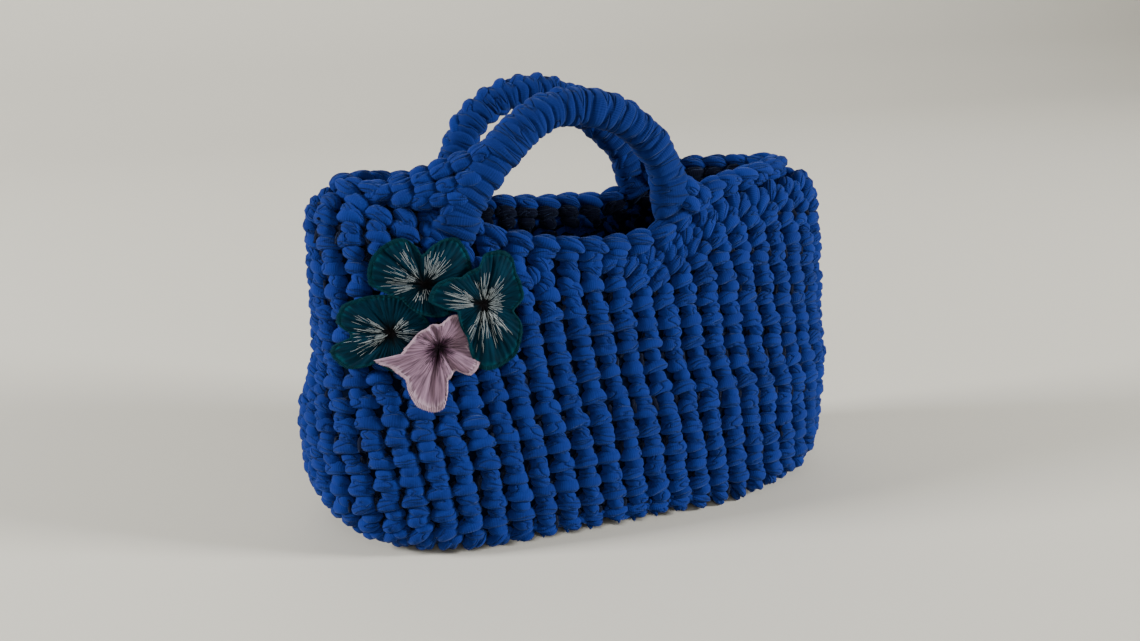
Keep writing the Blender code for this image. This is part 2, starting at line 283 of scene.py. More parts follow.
def yarn_material(name, deep, light, folds, rib_direction, rib_scale):
    """Creased jersey yarn, its folds running with each strand's map and its ribs across them, its crease lines darkened
    with painted shade.
    """
    material, nodes, links, shader = new_material(name, 0.92)
    shader.inputs["Sheen Weight"].default_value = 0.12
    shader.inputs["Sheen Roughness"].default_value = 0.5
    shader.inputs["Sheen Tint"].default_value = (0.25, 0.40, 0.90, 1.0)
    shader.inputs["Specular IOR Level"].default_value = 0.12
    tone = nodes.new("ShaderNodeAttribute")
    tone.attribute_name = "tone"
    strand = nodes.new("ShaderNodeUVMap")
    strand.uv_map = "UVMap"
    stretch = nodes.new("ShaderNodeMapping")
    stretch.inputs["Scale"].default_value = (folds[0], folds[1], 1.0)
    links.new(strand.outputs["UV"], stretch.inputs["Vector"])
    spread = nodes.new("ShaderNodeVectorMath")
    spread.operation = "SCALE"
    spread.inputs["Scale"].default_value = 37.0
    links.new(tone.outputs["Vector"], spread.inputs[0])
    shifted = nodes.new("ShaderNodeVectorMath")
    links.new(stretch.outputs["Vector"], shifted.inputs[0])
    links.new(spread.outputs["Vector"], shifted.inputs[1])
    folds_noise = nodes.new("ShaderNodeTexNoise")
    folds_noise.inputs["Scale"].default_value = 1.0
    folds_noise.inputs["Detail"].default_value = 1.5
    folds_noise.inputs["Distortion"].default_value = 0.35
    links.new(shifted.outputs["Vector"], folds_noise.inputs["Vector"])
    crease = nodes.new("ShaderNodeValToRGB")
    set_ramp(crease, [(0.42, (1, 1, 1, 1)), (0.47, (0.85, 0.85, 0.85, 1)), (0.50, (0.30, 0.30, 0.30, 1)),
                      (0.53, (0.85, 0.85, 0.85, 1)), (0.58, (1, 1, 1, 1))])
    links.new(folds_noise.outputs["Fac"], crease.inputs["Fac"])
    rib = nodes.new("ShaderNodeTexWave")
    rib.bands_direction = rib_direction
    rib.inputs["Scale"].default_value = rib_scale
    rib.inputs["Distortion"].default_value = 0.6
    links.new(strand.outputs["UV"], rib.inputs["Vector"])
    fine = nodes.new("ShaderNodeBump")
    fine.inputs["Strength"].default_value = 0.35
    fine.inputs["Distance"].default_value = 0.00025
    links.new(rib.outputs["Fac"], fine.inputs["Height"])
    bump = nodes.new("ShaderNodeBump")
    bump.inputs["Strength"].default_value = 1.0
    bump.inputs["Distance"].default_value = 0.0011
    links.new(crease.outputs["Color"], bump.inputs["Height"])
    links.new(fine.outputs["Normal"], bump.inputs["Normal"])
    links.new(bump.outputs["Normal"], shader.inputs["Normal"])
    colour = nodes.new("ShaderNodeMix")
    colour.data_type = "RGBA"
    colour.inputs["A"].default_value = deep
    colour.inputs["B"].default_value = light
    by_tone = math_node(nodes, "MULTIPLY", None, 0.30)
    links.new(tone.outputs["Fac"], by_tone.inputs[0])
    # painted shade: at the crease lines the colour drops towards the deep blue, standing in for shade in the folds
    crease_painted_shade = math_node(nodes, "MULTIPLY_ADD", None, 0.58)
    links.new(crease.outputs["Color"], crease_painted_shade.inputs[0])
    links.new(by_tone.outputs["Value"], crease_painted_shade.inputs[2])
    by_rib = math_node(nodes, "MULTIPLY_ADD", None, 0.12)
    links.new(rib.outputs["Fac"], by_rib.inputs[0])
    links.new(crease_painted_shade.outputs["Value"], by_rib.inputs[2])
    links.new(by_rib.outputs["Value"], colour.inputs["Factor"])
    links.new(colour.outputs["Result"], shader.inputs["Base Color"])
    material.diffuse_color = light
    return material


yarn = yarn_material("jersey_yarn", YARN_DEEP, YARN_LIGHT, (4.8, 0.8), "Y", 4.6)
# painted shade: a near-black copy of the yarn for the stitches inside the bag
inside_yarn_painted_shade = yarn_material("inside_yarn_painted_shade", INSIDE_SHADED_DEEP, INSIDE_SHADED_LIGHT, (7.0, 1.2), "Y", 4.6)
# the wound yarn uses the darker light colour above, as painted shade
wound = yarn_material("wound_yarn", YARN_DEEP, WOUND_LIGHT_SHADED, (2.0, 0.55), "X", 20.0)
# painted shadow: near-black yarn colour for the shell between the wall's faces, standing for yarn in shade
hollow, _, _, hollow_shader = new_material("yarn_in_shadow", 0.95)
hollow_shader.inputs["Base Color"].default_value = (0.0005, 0.0026, 0.0120, 1.0)
hollow_shader.inputs["Specular IOR Level"].default_value = 0.05
print("yarn materials ready")

# %% [markdown]
# ## One strand of yarn
# Every loop that shows is a short fat strand that goes under its neighbours at both ends. A strand
# is a tube swept along a few stations: it swells in the middle, thins and dives at its ends, and
# may be flat on one side. One function makes each kind from named sizes, with few faces, because
# a thousand loops repeat it.

# %% A function for one strand
def strand_mesh(name, length, width, thick, bend=0.0, flat_side=0.0, dive=0.5, stations=7, sides=8, lean=0.0):
    """Short strand along X, its width along Y and its thickness along Z, as a closed mesh with a map."""
    bm = bmesh.new()
    layer = bm.loops.layers.uv.new("UVMap")
    rings = []
    for k in range(stations):
        share = -1.0 + 2.0 * k / (stations - 1)
        share = math.copysign(abs(share) ** 0.85, share)
        swell = max(0.34, (1.0 - abs(share) ** 3.0 * 0.90) ** 0.5)
        middle_y = bend * (1.0 - share * share) - flat_side * 0.5 * width * (1.0 - swell) + lean * share
        middle_z = -dive * thick * abs(share) ** 2.4
        ring = []
        for j in range(sides):
            turn = math.tau * (j + 0.5) / sides
            y = middle_y + 0.5 * width * swell * math.cos(turn)
            z = middle_z + 0.5 * thick * (0.45 + 0.55 * swell) * math.sin(turn)
            ring.append(bm.verts.new((0.5 * length * share, y, z)))
        rings.append(ring)
    for k in range(stations - 1):
        for j in range(sides):
            after = (j + 1) % sides
            face = bm.faces.new((rings[k][j], rings[k + 1][j], rings[k + 1][after], rings[k][after]))
            face.smooth = True
            around = (j / sides, j / sides, (j + 1) / sides, (j + 1) / sides)
            along = (k, k + 1, k + 1, k)
            for loop, u, v in zip(face.loops, around, along):
                loop[layer].uv = (u, v / (stations - 1))
    for ring in (rings[0], list(reversed(rings[-1]))):
        cap = bm.faces.new(ring)
        cap.smooth = True
    bmesh.ops.recalc_face_normals(bm, faces=bm.faces)
    mesh = bpy.data.meshes.new(name)
    bm.to_mesh(mesh)
    bm.free()
    return mesh


def shape_set(name, meshes):
    """Collection of loose shapes that are only used as instances, kept out of the scene."""
    collection = bpy.data.collections.new(name)
    for number, mesh in enumerate(meshes):
        shape = bpy.data.objects.new(f"{name}_{number:02d}", mesh)
        collection.objects.link(shape)
    return collection


def turned(mesh, angle, shift):
    """Turn a strand in the wall's plane and move it, both in its mesh."""
    c = math.cos(angle)
    s = math.sin(angle)
    for vertex in mesh.vertices:
        x, y, z = vertex.co
        vertex.co = (x * c - y * s + shift[0], x * s + y * c + shift[1], z + shift[2])
    mesh.update()
    return mesh


# %% [markdown]
# ## A Geometry Nodes tree that lays shapes on a surface
# Stitches follow a rule, so they are laid by Geometry Nodes and not one by one. The tree takes a
# cloud of points. Each point says which way is right, which way is out, how large its cell is and
# which shape it takes. Small random turns and sizes, from a fixed seed, make the work look made by
# hand. The tree ends in real faces, because instances don't survive an export.

# %% The laying tree
def laying_tree():
    """Node group that puts shapes on marked points."""
    tree = bpy.data.node_groups.new("lay_shapes", "GeometryNodeTree")
    face = tree.interface
    face.new_socket(name="Geometry", in_out="INPUT", socket_type="NodeSocketGeometry")
    face.new_socket(name="Shapes", in_out="INPUT", socket_type="NodeSocketCollection")
    face.new_socket(name="Turn", in_out="INPUT", socket_type="NodeSocketFloat")
    face.new_socket(name="Uneven", in_out="INPUT", socket_type="NodeSocketFloat")
    face.new_socket(name="Seed", in_out="INPUT", socket_type="NodeSocketInt")
    face.new_socket(name="Material", in_out="INPUT", socket_type="NodeSocketMaterial")
    face.new_socket(name="Geometry", in_out="OUTPUT", socket_type="NodeSocketGeometry")
    nodes = tree.nodes
    links = tree.links
    start = nodes.new("NodeGroupInput")
    end = nodes.new("NodeGroupOutput")

    def attribute(name, kind):
        node = nodes.new("GeometryNodeInputNamedAttribute")
        node.data_type = kind
        node.inputs["Name"].default_value = name
        return node.outputs["Attribute"]

    def random_value(kind, low, high, offset):
        node = nodes.new("FunctionNodeRandomValue")
        node.data_type = kind
        add = nodes.new("ShaderNodeMath")
        add.inputs[1].default_value = offset
        links.new(start.outputs["Seed"], add.inputs[0])
        links.new(add.outputs["Value"], node.inputs["Seed"])
        vector = kind == "FLOAT_VECTOR"
        lows = node.inputs[0] if vector else node.inputs[2]
        highs = node.inputs[1] if vector else node.inputs[3]
        for socket, value in ((lows, low), (highs, high)):
            if isinstance(value, bpy.types.NodeSocket):
                links.new(value, socket)
            else:
                socket.default_value = value
        return node.outputs["Value"] if vector else node.outputs[1]

    shapes = nodes.new("GeometryNodeCollectionInfo")
    shapes.inputs["Separate Children"].default_value = True
    shapes.inputs["Reset Children"].default_value = True
    links.new(start.outputs["Shapes"], shapes.inputs["Collection"])
    facing = nodes.new("FunctionNodeAxesToRotation")
    facing.primary_axis = "Z"
    facing.secondary_axis = "X"
    links.new(attribute("out", "FLOAT_VECTOR"), facing.inputs["Primary Axis"])
    links.new(attribute("right", "FLOAT_VECTOR"), facing.inputs["Secondary Axis"])
    negative = nodes.new("ShaderNodeMath")
    negative.operation = "MULTIPLY"
    negative.inputs[1].default_value = -1.0
    links.new(start.outputs["Turn"], negative.inputs[0])
    loose = random_value("FLOAT_VECTOR", negative.outputs[0], start.outputs["Turn"], 1.0)
    to_rotation = nodes.new("FunctionNodeEulerToRotation")
    links.new(loose, to_rotation.inputs[0])
    turn = nodes.new("FunctionNodeRotateRotation")
    turn.rotation_space = "LOCAL"
    links.new(facing.outputs[0], turn.inputs[0])
    links.new(to_rotation.outputs[0], turn.inputs[1])
    less = nodes.new("ShaderNodeMath")
    less.operation = "SUBTRACT"
    less.inputs[0].default_value = 1.0
    links.new(start.outputs["Uneven"], less.inputs[1])
    more = nodes.new("ShaderNodeMath")
    more.inputs[0].default_value = 1.0
    links.new(start.outputs["Uneven"], more.inputs[1])
    size = random_value("FLOAT_VECTOR", less.outputs[0], more.outputs[0], 2.0)
    scale = nodes.new("ShaderNodeVectorMath")
    scale.operation = "MULTIPLY"
    links.new(attribute("cell", "FLOAT_VECTOR"), scale.inputs[0])
    links.new(size, scale.inputs[1])
    place = nodes.new("GeometryNodeInstanceOnPoints")
    place.inputs["Pick Instance"].default_value = True
    links.new(start.outputs["Geometry"], place.inputs["Points"])
    links.new(shapes.outputs[0], place.inputs["Instance"])
    links.new(attribute("kind", "INT"), place.inputs["Instance Index"])
    links.new(turn.outputs[0], place.inputs["Rotation"])
    links.new(scale.outputs["Vector"], place.inputs["Scale"])
    tone = nodes.new("GeometryNodeStoreNamedAttribute")
    tone.domain = "INSTANCE"
    tone.data_type = "FLOAT"
    tone.inputs["Name"].default_value = "tone"
    links.new(place.outputs["Instances"], tone.inputs["Geometry"])
    links.new(random_value("FLOAT", 0.0, 1.0, 3.0), tone.inputs["Value"])
    real = nodes.new("GeometryNodeRealizeInstances")
    links.new(tone.outputs["Geometry"], real.inputs["Geometry"])
    coat = nodes.new("GeometryNodeSetMaterial")
    links.new(real.outputs["Geometry"], coat.inputs["Geometry"])
    links.new(start.outputs["Material"], coat.inputs["Material"])
    links.new(coat.outputs["Geometry"], end.inputs["Geometry"])
    return tree


LAYING = laying_tree()
LAYING_INPUTS = {item.name: item.identifier for item in LAYING.interface.items_tree if item.in_out == "INPUT"}
print("laying tree inputs:", ", ".join(LAYING_INPUTS))


# %% Marked points and the pieces laid on them
class Cells:
    """Points that shapes are laid on, with their directions and sizes."""

    def __init__(self):
        self.places = []
        self.rights = []
        self.outs = []
        self.cells = []
        self.kinds = []

    def add(self, place, right, out, cell, kind):
        """One more point."""
        self.places.append(tuple(place))
        self.rights.append(tuple(right))
        self.outs.append(tuple(out))
        self.cells.append(tuple(cell))
        self.kinds.append(int(kind))

    def mesh(self, name):
        """The points as a mesh with named attributes."""
        mesh = bpy.data.meshes.new(name)
        mesh.from_pydata(self.places, [], [])
        for label, rows in (("right", self.rights), ("out", self.outs), ("cell", self.cells)):
            layer = mesh.attributes.new(label, "FLOAT_VECTOR", "POINT")
            layer.data.foreach_set("vector", np.array(rows, float).ravel())
        layer = mesh.attributes.new("kind", "INT", "POINT")
        layer.data.foreach_set("value", self.kinds)
        return mesh


def lay(name, cells, shapes, material, turn=0.08, uneven=0.06, seed=1):
    """Lay shapes on marked points and return the result as one plain mesh object."""
    points = bpy.data.objects.new(name, cells.mesh(name + "_points"))
    bpy.context.scene.collection.objects.link(points)
    modifier = points.modifiers.new("lay", "NODES")
    modifier.node_group = LAYING
    modifier[LAYING_INPUTS["Shapes"]] = shapes
    modifier[LAYING_INPUTS["Turn"]] = float(turn)
    modifier[LAYING_INPUTS["Uneven"]] = float(uneven)
    modifier[LAYING_INPUTS["Seed"]] = int(seed)
    modifier[LAYING_INPUTS["Material"]] = material
    graph = bpy.context.evaluated_depsgraph_get()
    mesh = bpy.data.meshes.new_from_object(points.evaluated_get(graph))
    mesh.name = name
    points.modifiers.clear()
    points.data = mesh
    for polygon in mesh.polygons:
        polygon.use_smooth = True
    print(name, "cells:", len(cells.places), "faces:", len(mesh.polygons))
    return points


# %% [markdown]
# ## The stitches of the wall
# One single crochet stitch shows as a fat bar, rounded above and flat below, over two strands that
# come out from under it. The holes between stitches are nearly black. The bars and the strands
# below them are separate shapes in a few variants, so that no two neighbours are the same.

# %% Shapes of a stitch
STITCH_WIDTH = 0.0113
ROW_PITCH = 0.0098

BAR_LENGTH = 0.0126
BAR_WIDTH = 0.0074
BAR_THICK = 0.0078
LUMP_LENGTH = 0.0098
LUMP_WIDTH = 0.0068
LUMP_THICK = 0.0072
LEG_LENGTH = 0.0064
LEG_THICK = 0.0036


def bar_variants(stations=8, sides=9):
    """Bars of a few sizes, flatter along their lower side."""
    meshes = []
    for number in range(4):
        longer = 1.0 + 0.05 * (number - 1.5)
        mesh = strand_mesh(f"bar_{number}", BAR_LENGTH * longer, BAR_WIDTH * (1.04 - 0.03 * number), BAR_THICK,
                           bend=0.0005 + 0.0002 * number, flat_side=0.35, dive=0.32, stations=stations, sides=sides)
        meshes.append(turned(mesh, math.radians(-4.0 + 3.0 * number), (-0.0001, 0.0019, 0.0)))
    return meshes


def leg_variants(stations=6, sides=7):
    """Strands below a bar: a thin one deep at the left and a fat slanting one at the right."""
    meshes = []
    for number in range(4):
        slant = math.radians(-90.0 + (4.0, -5.0, 8.0, -2.0)[number])
        left = strand_mesh(f"left_leg_{number}", LEG_LENGTH, 0.0034, LEG_THICK, bend=0.0003,
                           dive=0.30, stations=stations, sides=sides)
        meshes.append(turned(left, slant, (-0.0042, -0.0030, -0.0052)))
    for number in range(4):
        slant = math.radians((-10.0, -20.0, -4.0, -28.0)[number])
        right = strand_mesh(f"right_lump_{number}", LUMP_LENGTH * (1.0 - 0.04 * number), LUMP_WIDTH, LUMP_THICK,
                            bend=0.0004, dive=0.32, stations=stations + 1, sides=sides + 1)
        meshes.append(turned(right, slant, (0.0014, -0.0031, -0.0001)))
    return meshes


bars = shape_set("bar_shapes", bar_variants())
legs = shape_set("leg_shapes", leg_variants())
plain_bars = shape_set("plain_bar_shapes", bar_variants(5, 6))
plain_legs = shape_set("plain_leg_shapes", leg_variants(5, 5))

# %% [markdown]
# ## Rounds of stitches
# Every round is as tall as the last, measured up the wall from the base, so the stitches keep
# their height. The shoulders of the bag are taller than the dip under the handles, so more rounds
# fit there, and the topmost ones end where they meet the rim. The stitches of a round are counted
# off by its real length. Each round starts a little to the side of the one above it, which is the
# lean that crochet worked in one direction always has.

# %% Wall measured by length
ROUND_SAMPLES = 720
CLIMB_SAMPLES = 80
wall_angles = -0.5 * math.pi + math.tau * np.arange(ROUND_SAMPLES + 1) / ROUND_SAMPLES
wall_shares = np.linspace(0.0, 1.0, CLIMB_SAMPLES)
wall_grid = wall_point(wall_shares[:, None], wall_angles[None, :])
climb_steps = np.linalg.norm(np.diff(wall_grid, axis=0), axis=-1)
wall_climb = np.concatenate([np.zeros((1, ROUND_SAMPLES + 1)), np.cumsum(climb_steps, axis=0)])
print("wall climbs from", round(wall_climb[-1].min(), 3), "to", round(wall_climb[-1].max(), 3), "m")


def shares_at_climb(climb):
    """Height share at a length up the wall, for each sampled angle."""
    return np.array([np.interp(climb, wall_climb[:, k], wall_shares) for k in range(ROUND_SAMPLES + 1)])


def running_length(line):
    """Length along a line of points, from its first point."""
    return np.concatenate([[0.0], np.cumsum(np.linalg.norm(np.diff(line, axis=0), axis=1))])


def at_length(values, length, along):
    """Row of a table of points at a running length, between its samples."""
    return np.array([np.interp(along, length, values[:, axis]) for axis in range(3)])


# %% Lay out the rounds
ROW_PITCH_WALL = 0.0099
ROUND_DRIFT = 0.13
FIRST_ROUND = 0.0024
FIRST_SQUASH = 0.62
RIM_ROOM = 0.0046
SURFACE_INSET = 0.0038
SHOULDER_FILL = 0.0052
INNER_FLAT = 0.52


def shoulder_fill(place, outward, share):
    """Shift of the top rounds' stitches, up and out, where the wall turns in at its ends."""
    end = np.clip((np.abs(place[:, 0]) / HALF_LENGTH - 0.55) / 0.30, 0.0, 1.0)
    high = np.clip((share - 0.84) / 0.12, 0.0, 1.0)
    amount = SHOULDER_FILL * end * high * high * (3.0 - 2.0 * high)
    return amount[:, None] * (0.30 * outward + np.array([0.0, 0.0, 0.70]))


def round_cells(climb, inset, facing, drift, cells_bars, cells_legs, seed, rim_room=RIM_ROOM, squash=1.0):
    """Cells of one round at a length up the wall, on the outside (1) or the inside (-1)."""
    noise = random.Random(seed)
    shares = shares_at_climb(climb)
    place, _, upward, outward = wall_frame(shares, wall_angles)
    place = place + shoulder_fill(place, outward, shares) - outward * inset
    length = running_length(place)
    count = round(length[-1] / STITCH_WIDTH)
    pitch = length[-1] / count
    room = wall_climb[-1] - climb
    laid = 0
    for k in range(count):
        along = (k + 0.5 + drift) % count * pitch + noise.uniform(-0.0004, 0.0004)
        if np.interp(along, length, room) < rim_room:
            continue
        spot, up, face = [at_length(values, length, along) for values in (place, upward, outward)]
        spot = spot + up * noise.uniform(-0.0004, 0.0004) + face * noise.uniform(-0.0003, 0.0004)
        side = np.cross(up, face)
        cell = (pitch / STITCH_WIDTH, squash * ROW_PITCH_WALL / ROW_PITCH, 1.0 if facing > 0 else INNER_FLAT)
        for cells, kind in ((cells_bars, 0), (cells_legs, 0), (cells_legs, 4)):
            cells.add(spot, side * facing, face * facing, cell, kind + noise.randrange(4))
        laid += 1
    return laid


WALL_ROUNDS = int((wall_climb[-1].max() - RIM_ROOM) / ROW_PITCH_WALL + 0.5)
outer_bars = Cells()
outer_legs = Cells()
counts = []
for number in range(WALL_ROUNDS):
    drift = ROUND_DRIFT * (WALL_ROUNDS - number)
    climb = (number + 0.5) * ROW_PITCH_WALL + FIRST_ROUND
    squash = FIRST_SQUASH if number == 0 else 1.0
    counts.append(round_cells(climb, SURFACE_INSET, 1, drift, outer_bars, outer_legs, 100 + number, squash=squash))
print("stitches in each round:", counts)
wall_bars = lay("wall_stitch_bars", outer_bars, bars, yarn, turn=0.08, uneven=0.07, seed=3)
wall_legs = lay("wall_stitch_strands", outer_legs, legs, yarn, turn=0.10, uneven=0.08, seed=5)

# %% [markdown]
# ## The inside, the base and the painted shadow behind the loops
# The wall is one layer of stitches, so its inside shows the same rounds from behind, laid in a
# near-black copy of the yarn as painted shade. The base is worked as an oval from a middle line
# outwards, and shows below and on the inner floor. Between the faces of the wall a thin dark shell
# closes the view: painted shadow that stands for the same yarn lying in shade deep in the wall.

# %% Inner rounds
INNER_INSET = WALL - 0.0022
INNER_ROOM = 0.0090
inner_bars = Cells()
inner_legs = Cells()
for number in range(1, WALL_ROUNDS):
    climb = (number + 0.5) * ROW_PITCH_WALL
    round_cells(climb, INNER_INSET, -1, 0.3 * number, inner_bars, inner_legs, 300 + number, INNER_ROOM)
# the inner rounds are laid in the near-black copy of the yarn, as painted shade
inner_wall_bars = lay("inner_stitch_bars", inner_bars, plain_bars, inside_yarn_painted_shade, turn=0.10, uneven=0.08, seed=7)
inner_wall_legs = lay("inner_stitch_strands", inner_legs, plain_legs, inside_yarn_painted_shade, turn=0.10, uneven=0.08, seed=9)

# %% Rounds of the base
BASE_HALF_LENGTH = HALF_LENGTH * BODY_ROWS[0].left
BASE_HALF_DEPTH = HALF_DEPTH * BODY_ROWS[0].depth
BASE_ROUNDS = 5
BASE_LIFT = 0.0060
FLOOR_LIFT = 0.0094


def base_cells(height, facing, cells_bars, cells_legs, seed):
    """Cells of the base's oval rounds, seen from below (-1) or from inside (1)."""
    noise = random.Random(seed)
    width = BASE_HALF_DEPTH / BASE_ROUNDS
    for number in range(BASE_ROUNDS):
        half_depth = BASE_HALF_DEPTH - width * (number + 0.5)
        half_length = BASE_HALF_LENGTH - width * (number + 0.5)
        angles = math.tau * np.arange(721) / 720
        c = np.cos(angles)
        s = np.sin(angles)
        power = 2.0 / 3.0
        line = np.stack([half_length * np.sign(c) * np.abs(c) ** power,
                         half_depth * np.sign(s) * np.abs(s) ** power,
                         np.full_like(c, height)], -1)
        length = np.concatenate([[0.0], np.cumsum(np.linalg.norm(np.diff(line, axis=0), axis=1))])
        count = round(length[-1] / STITCH_WIDTH)
        for k in range(count):
            at = int(np.searchsorted(length, (k + 0.5) * length[-1] / count))
            ahead = line[min(at + 1, 720)] - line[max(at - 1, 0)]
            right = ahead / np.linalg.norm(ahead)
            cell = (length[-1] / count / STITCH_WIDTH, width / ROW_PITCH, 0.9)
            spot = line[at] + np.array([0.0, 0.0, noise.uniform(-0.0002, 0.0002)])
            out = (0.0, 0.0, float(facing))
            cells_bars.add(spot, right * facing, out, cell, noise.randrange(4))
            cells_legs.add(spot, right * facing, out, cell, noise.randrange(4))
            cells_legs.add(spot, right * facing, out, cell, 4 + noise.randrange(4))


under_bars = Cells()
under_legs = Cells()
base_cells(BASE_LIFT, -1, under_bars, under_legs, 41)
base_cells(FLOOR_LIFT, 1, under_bars, under_legs, 43)
base_bars = lay("base_stitch_bars", under_bars, plain_bars, yarn, turn=0.05, uneven=0.05, seed=11)
base_legs = lay("base_stitch_strands", under_legs, plain_legs, yarn, turn=0.05, uneven=0.05, seed=13)


# %% The painted-shadow shell inside the wall
def shell_mesh(name, skins, material):
    """Closed shell between rings of points that run down one side and up the other."""
    bm = bmesh.new()
    rings = [[bm.verts.new(point) for point in ring] for ring in skins]
    for ring, following in zip(rings, rings[1:]):
        for k in range(len(ring)):
            after = (k + 1) % len(ring)
            bm.faces.new((ring[k], ring[after], following[after], following[k])).smooth = True
    bm.faces.new(rings[0])
    bm.faces.new(rings[-1])
    bmesh.ops.recalc_face_normals(bm, faces=bm.faces)
    mesh = bpy.data.meshes.new(name)
    bm.to_mesh(mesh)
    bm.free()
    mesh.materials.append(material)
    piece = bpy.data.objects.new(name, mesh)
    bpy.context.scene.collection.objects.link(piece)
    print(name, "faces:", len(mesh.polygons))
    return piece


SHELL_OUTER = 0.0046
SHELL_INNER = 0.0056
SHELL_IN_RIM = 0.0038
shell_angles = math.tau * np.arange(96) / 96
shell_heights = [0.03, 0.08, 0.15, 0.24, 0.35, 0.47, 0.6, 0.72, 0.83, 0.92, 0.97, 1.0]


def sunk_ring(height, inset):
    """Ring of the wall sunk in by an inset."""
    place, _, _, outward = wall_frame(np.full(96, height), shell_angles)
    return place - outward * inset


skins = [sunk_ring(height, SHELL_OUTER) for height in shell_heights]
skins += [sunk_ring(height, SHELL_INNER) for height in reversed(shell_heights)]
for ring in skins[len(shell_heights) - 1:len(shell_heights) + 1]:
    ring[:, 2] += SHELL_IN_RIM
skins[0][:, 2] = BASE_LIFT + 0.0016
skins[-1][:, 2] = FLOOR_LIFT - 0.0016
# painted shadow: this dark shell fills the holes between stitches with the look of yarn in deep shade
painted_shadow_shell = shell_mesh("yarn_behind_stitches", skins, hollow)

# %% [markdown]
# ## The rim
# The last round ends in a chain: each stitch leaves a loop on the outside of the edge and one on
# the inside, and each loop dives under the next. Seen from the side the chain looks like a rope.

# %% Rim loops
RIM_LOOP_LENGTH = 0.0146
RIM_LOOP_WIDTH = 0.0056
RIM_LOOP_THICK = 0.0060
RIM_TILT = 0.30
RIM_LIFT = 0.0012
rim_shapes = shape_set("rim_shapes", [
    strand_mesh(f"rim_loop_{number}", RIM_LOOP_LENGTH * (0.96 + 0.05 * number), RIM_LOOP_WIDTH,
                RIM_LOOP_THICK, bend=0.0006 * (number - 1), dive=0.40, stations=9, sides=9)
    for number in range(3)
])
crest_place, crest_right, _, _ = wall_frame(1.0, wall_angles)
crest_level = np.cross(crest_right, np.array([0.0, 0.0, 1.0]))
crest_level /= np.linalg.norm(crest_level, axis=1, keepdims=True)
crest_place = crest_place - crest_level * 0.5 * WALL
crest_place[:, 2] = crest_height(crest_place[:, 0], crest_place[:, 1])
crest_ahead = np.gradient(crest_place, axis=0)
crest_ahead /= np.linalg.norm(crest_ahead, axis=1, keepdims=True)
crest_run = running_length(crest_place)
RIM_COUNT = round(crest_run[-1] / STITCH_WIDTH)

rim_cells = Cells()
rim_bars = Cells()
rim_legs = Cells()
rim_inner_bars = Cells()
rim_inner_legs = Cells()
rim_noise = random.Random(77)
for k in range(RIM_COUNT):
    along = (k + 0.5) * crest_run[-1] / RIM_COUNT
    spot = at_length(crest_place, crest_run, along)
    ahead = at_length(crest_ahead, crest_run, along)
    level = at_length(crest_level, crest_run, along)
    up = np.cross(level, ahead)
    up *= math.copysign(1.0, up[2])
    for side in (1, -1):
        loop = spot + level * (0.0030 if side > 0 else -0.0020) - up * (0.0034 - RIM_LIFT)
        facing = up * 0.55 + level * side * 0.83
        facing /= np.linalg.norm(facing)
        across = np.cross(facing, ahead)
        run = ahead * math.cos(RIM_TILT) - across * math.sin(RIM_TILT)
        rim_cells.add(loop, run, facing, (1.0, 1.0, 1.0), rim_noise.randrange(3))
        under = spot + level * (0.0016 if side > 0 else -0.0034) - up * 0.0092
        bar_cells, leg_cells = (rim_bars, rim_legs) if side > 0 else (rim_inner_bars, rim_inner_legs)
        for cells, kind in ((bar_cells, 0), (leg_cells, 4)):
            cells.add(under, ahead * side, level * side, (1.0, 1.0, 1.0 if side > 0 else INNER_FLAT),
                      kind + rim_noise.randrange(4))
rim = lay("rim_loops", rim_cells, rim_shapes, yarn, turn=0.10, uneven=0.07, seed=15)
rim_under_bars = lay("rim_stitch_bars", rim_bars, bars, yarn, turn=0.10, uneven=0.07, seed=17)
# the rim's inner row is laid in the near-black copy of the yarn, as painted shade
rim_inside_bars = lay("rim_inside_bars", rim_inner_bars, plain_bars, inside_yarn_painted_shade, turn=0.10, uneven=0.07, seed=27)
rim_inside_legs = lay("rim_inside_strands", rim_inner_legs, plain_legs, inside_yarn_painted_shade, turn=0.10, uneven=0.07, seed=29)
rim_under_legs = lay("rim_stitch_strands", rim_legs, legs, yarn, turn=0.10, uneven=0.07, seed=19)

# %% [markdown]
# ## The handles
# A handle is a cord wound with yarn. The windings lie side by side across the arch, each a little
# wider or fatter than the next, and they pull into fine folds. One long tube with many rings takes
# that shape better than separate loops would: its surface rises and falls with a list of windings
# whose widths come from a seeded random number. The face towards the inside of the bag shows a
# plait where the winding was crocheted shut.

# %% Arch of a handle
HANDLE_SPAN = 0.0475
HANDLE_TOP = ARCH_HIGH.z - 0.0090
HANDLE_WIDTH = 0.0168
HANDLE_DEPTH = 0.0160
FOOT_WIDTH = 0.0215
FOOT_DEPTH = 0.0108
FOOT_SINK = 0.0070
FINE_FOLD = 0.30
CREASE = 0.0014
FINE_CREASE = 0.00022
Arch = namedtuple("Arch", "node side middle half lean rise")
ARCHES = [
    Arch("handle_front", -1.0, -0.310, 0.985, 0.00, 0.99),
    Arch("handle_back", 1.0, -0.126, 0.91, -0.126, 0.93),
]


Slim = namedtuple("Slim", "left right")
HANDLE_SLIM = {"handle_front": Slim(-0.02, 0.10), "handle_back": Slim(0.20, 0.16)}
LEG_FLARE = {"handle_front": 0.0030, "handle_back": 0.0054}
LEFT_FLARE = {"handle_front": 0.0050, "handle_back": 0.0}
Straighten = namedtuple("Straighten", "left right")
STRAIGHTEN = {"handle_front": Straighten(0.0042, 0.0), "handle_back": Straighten(0.0, 0.0054)}


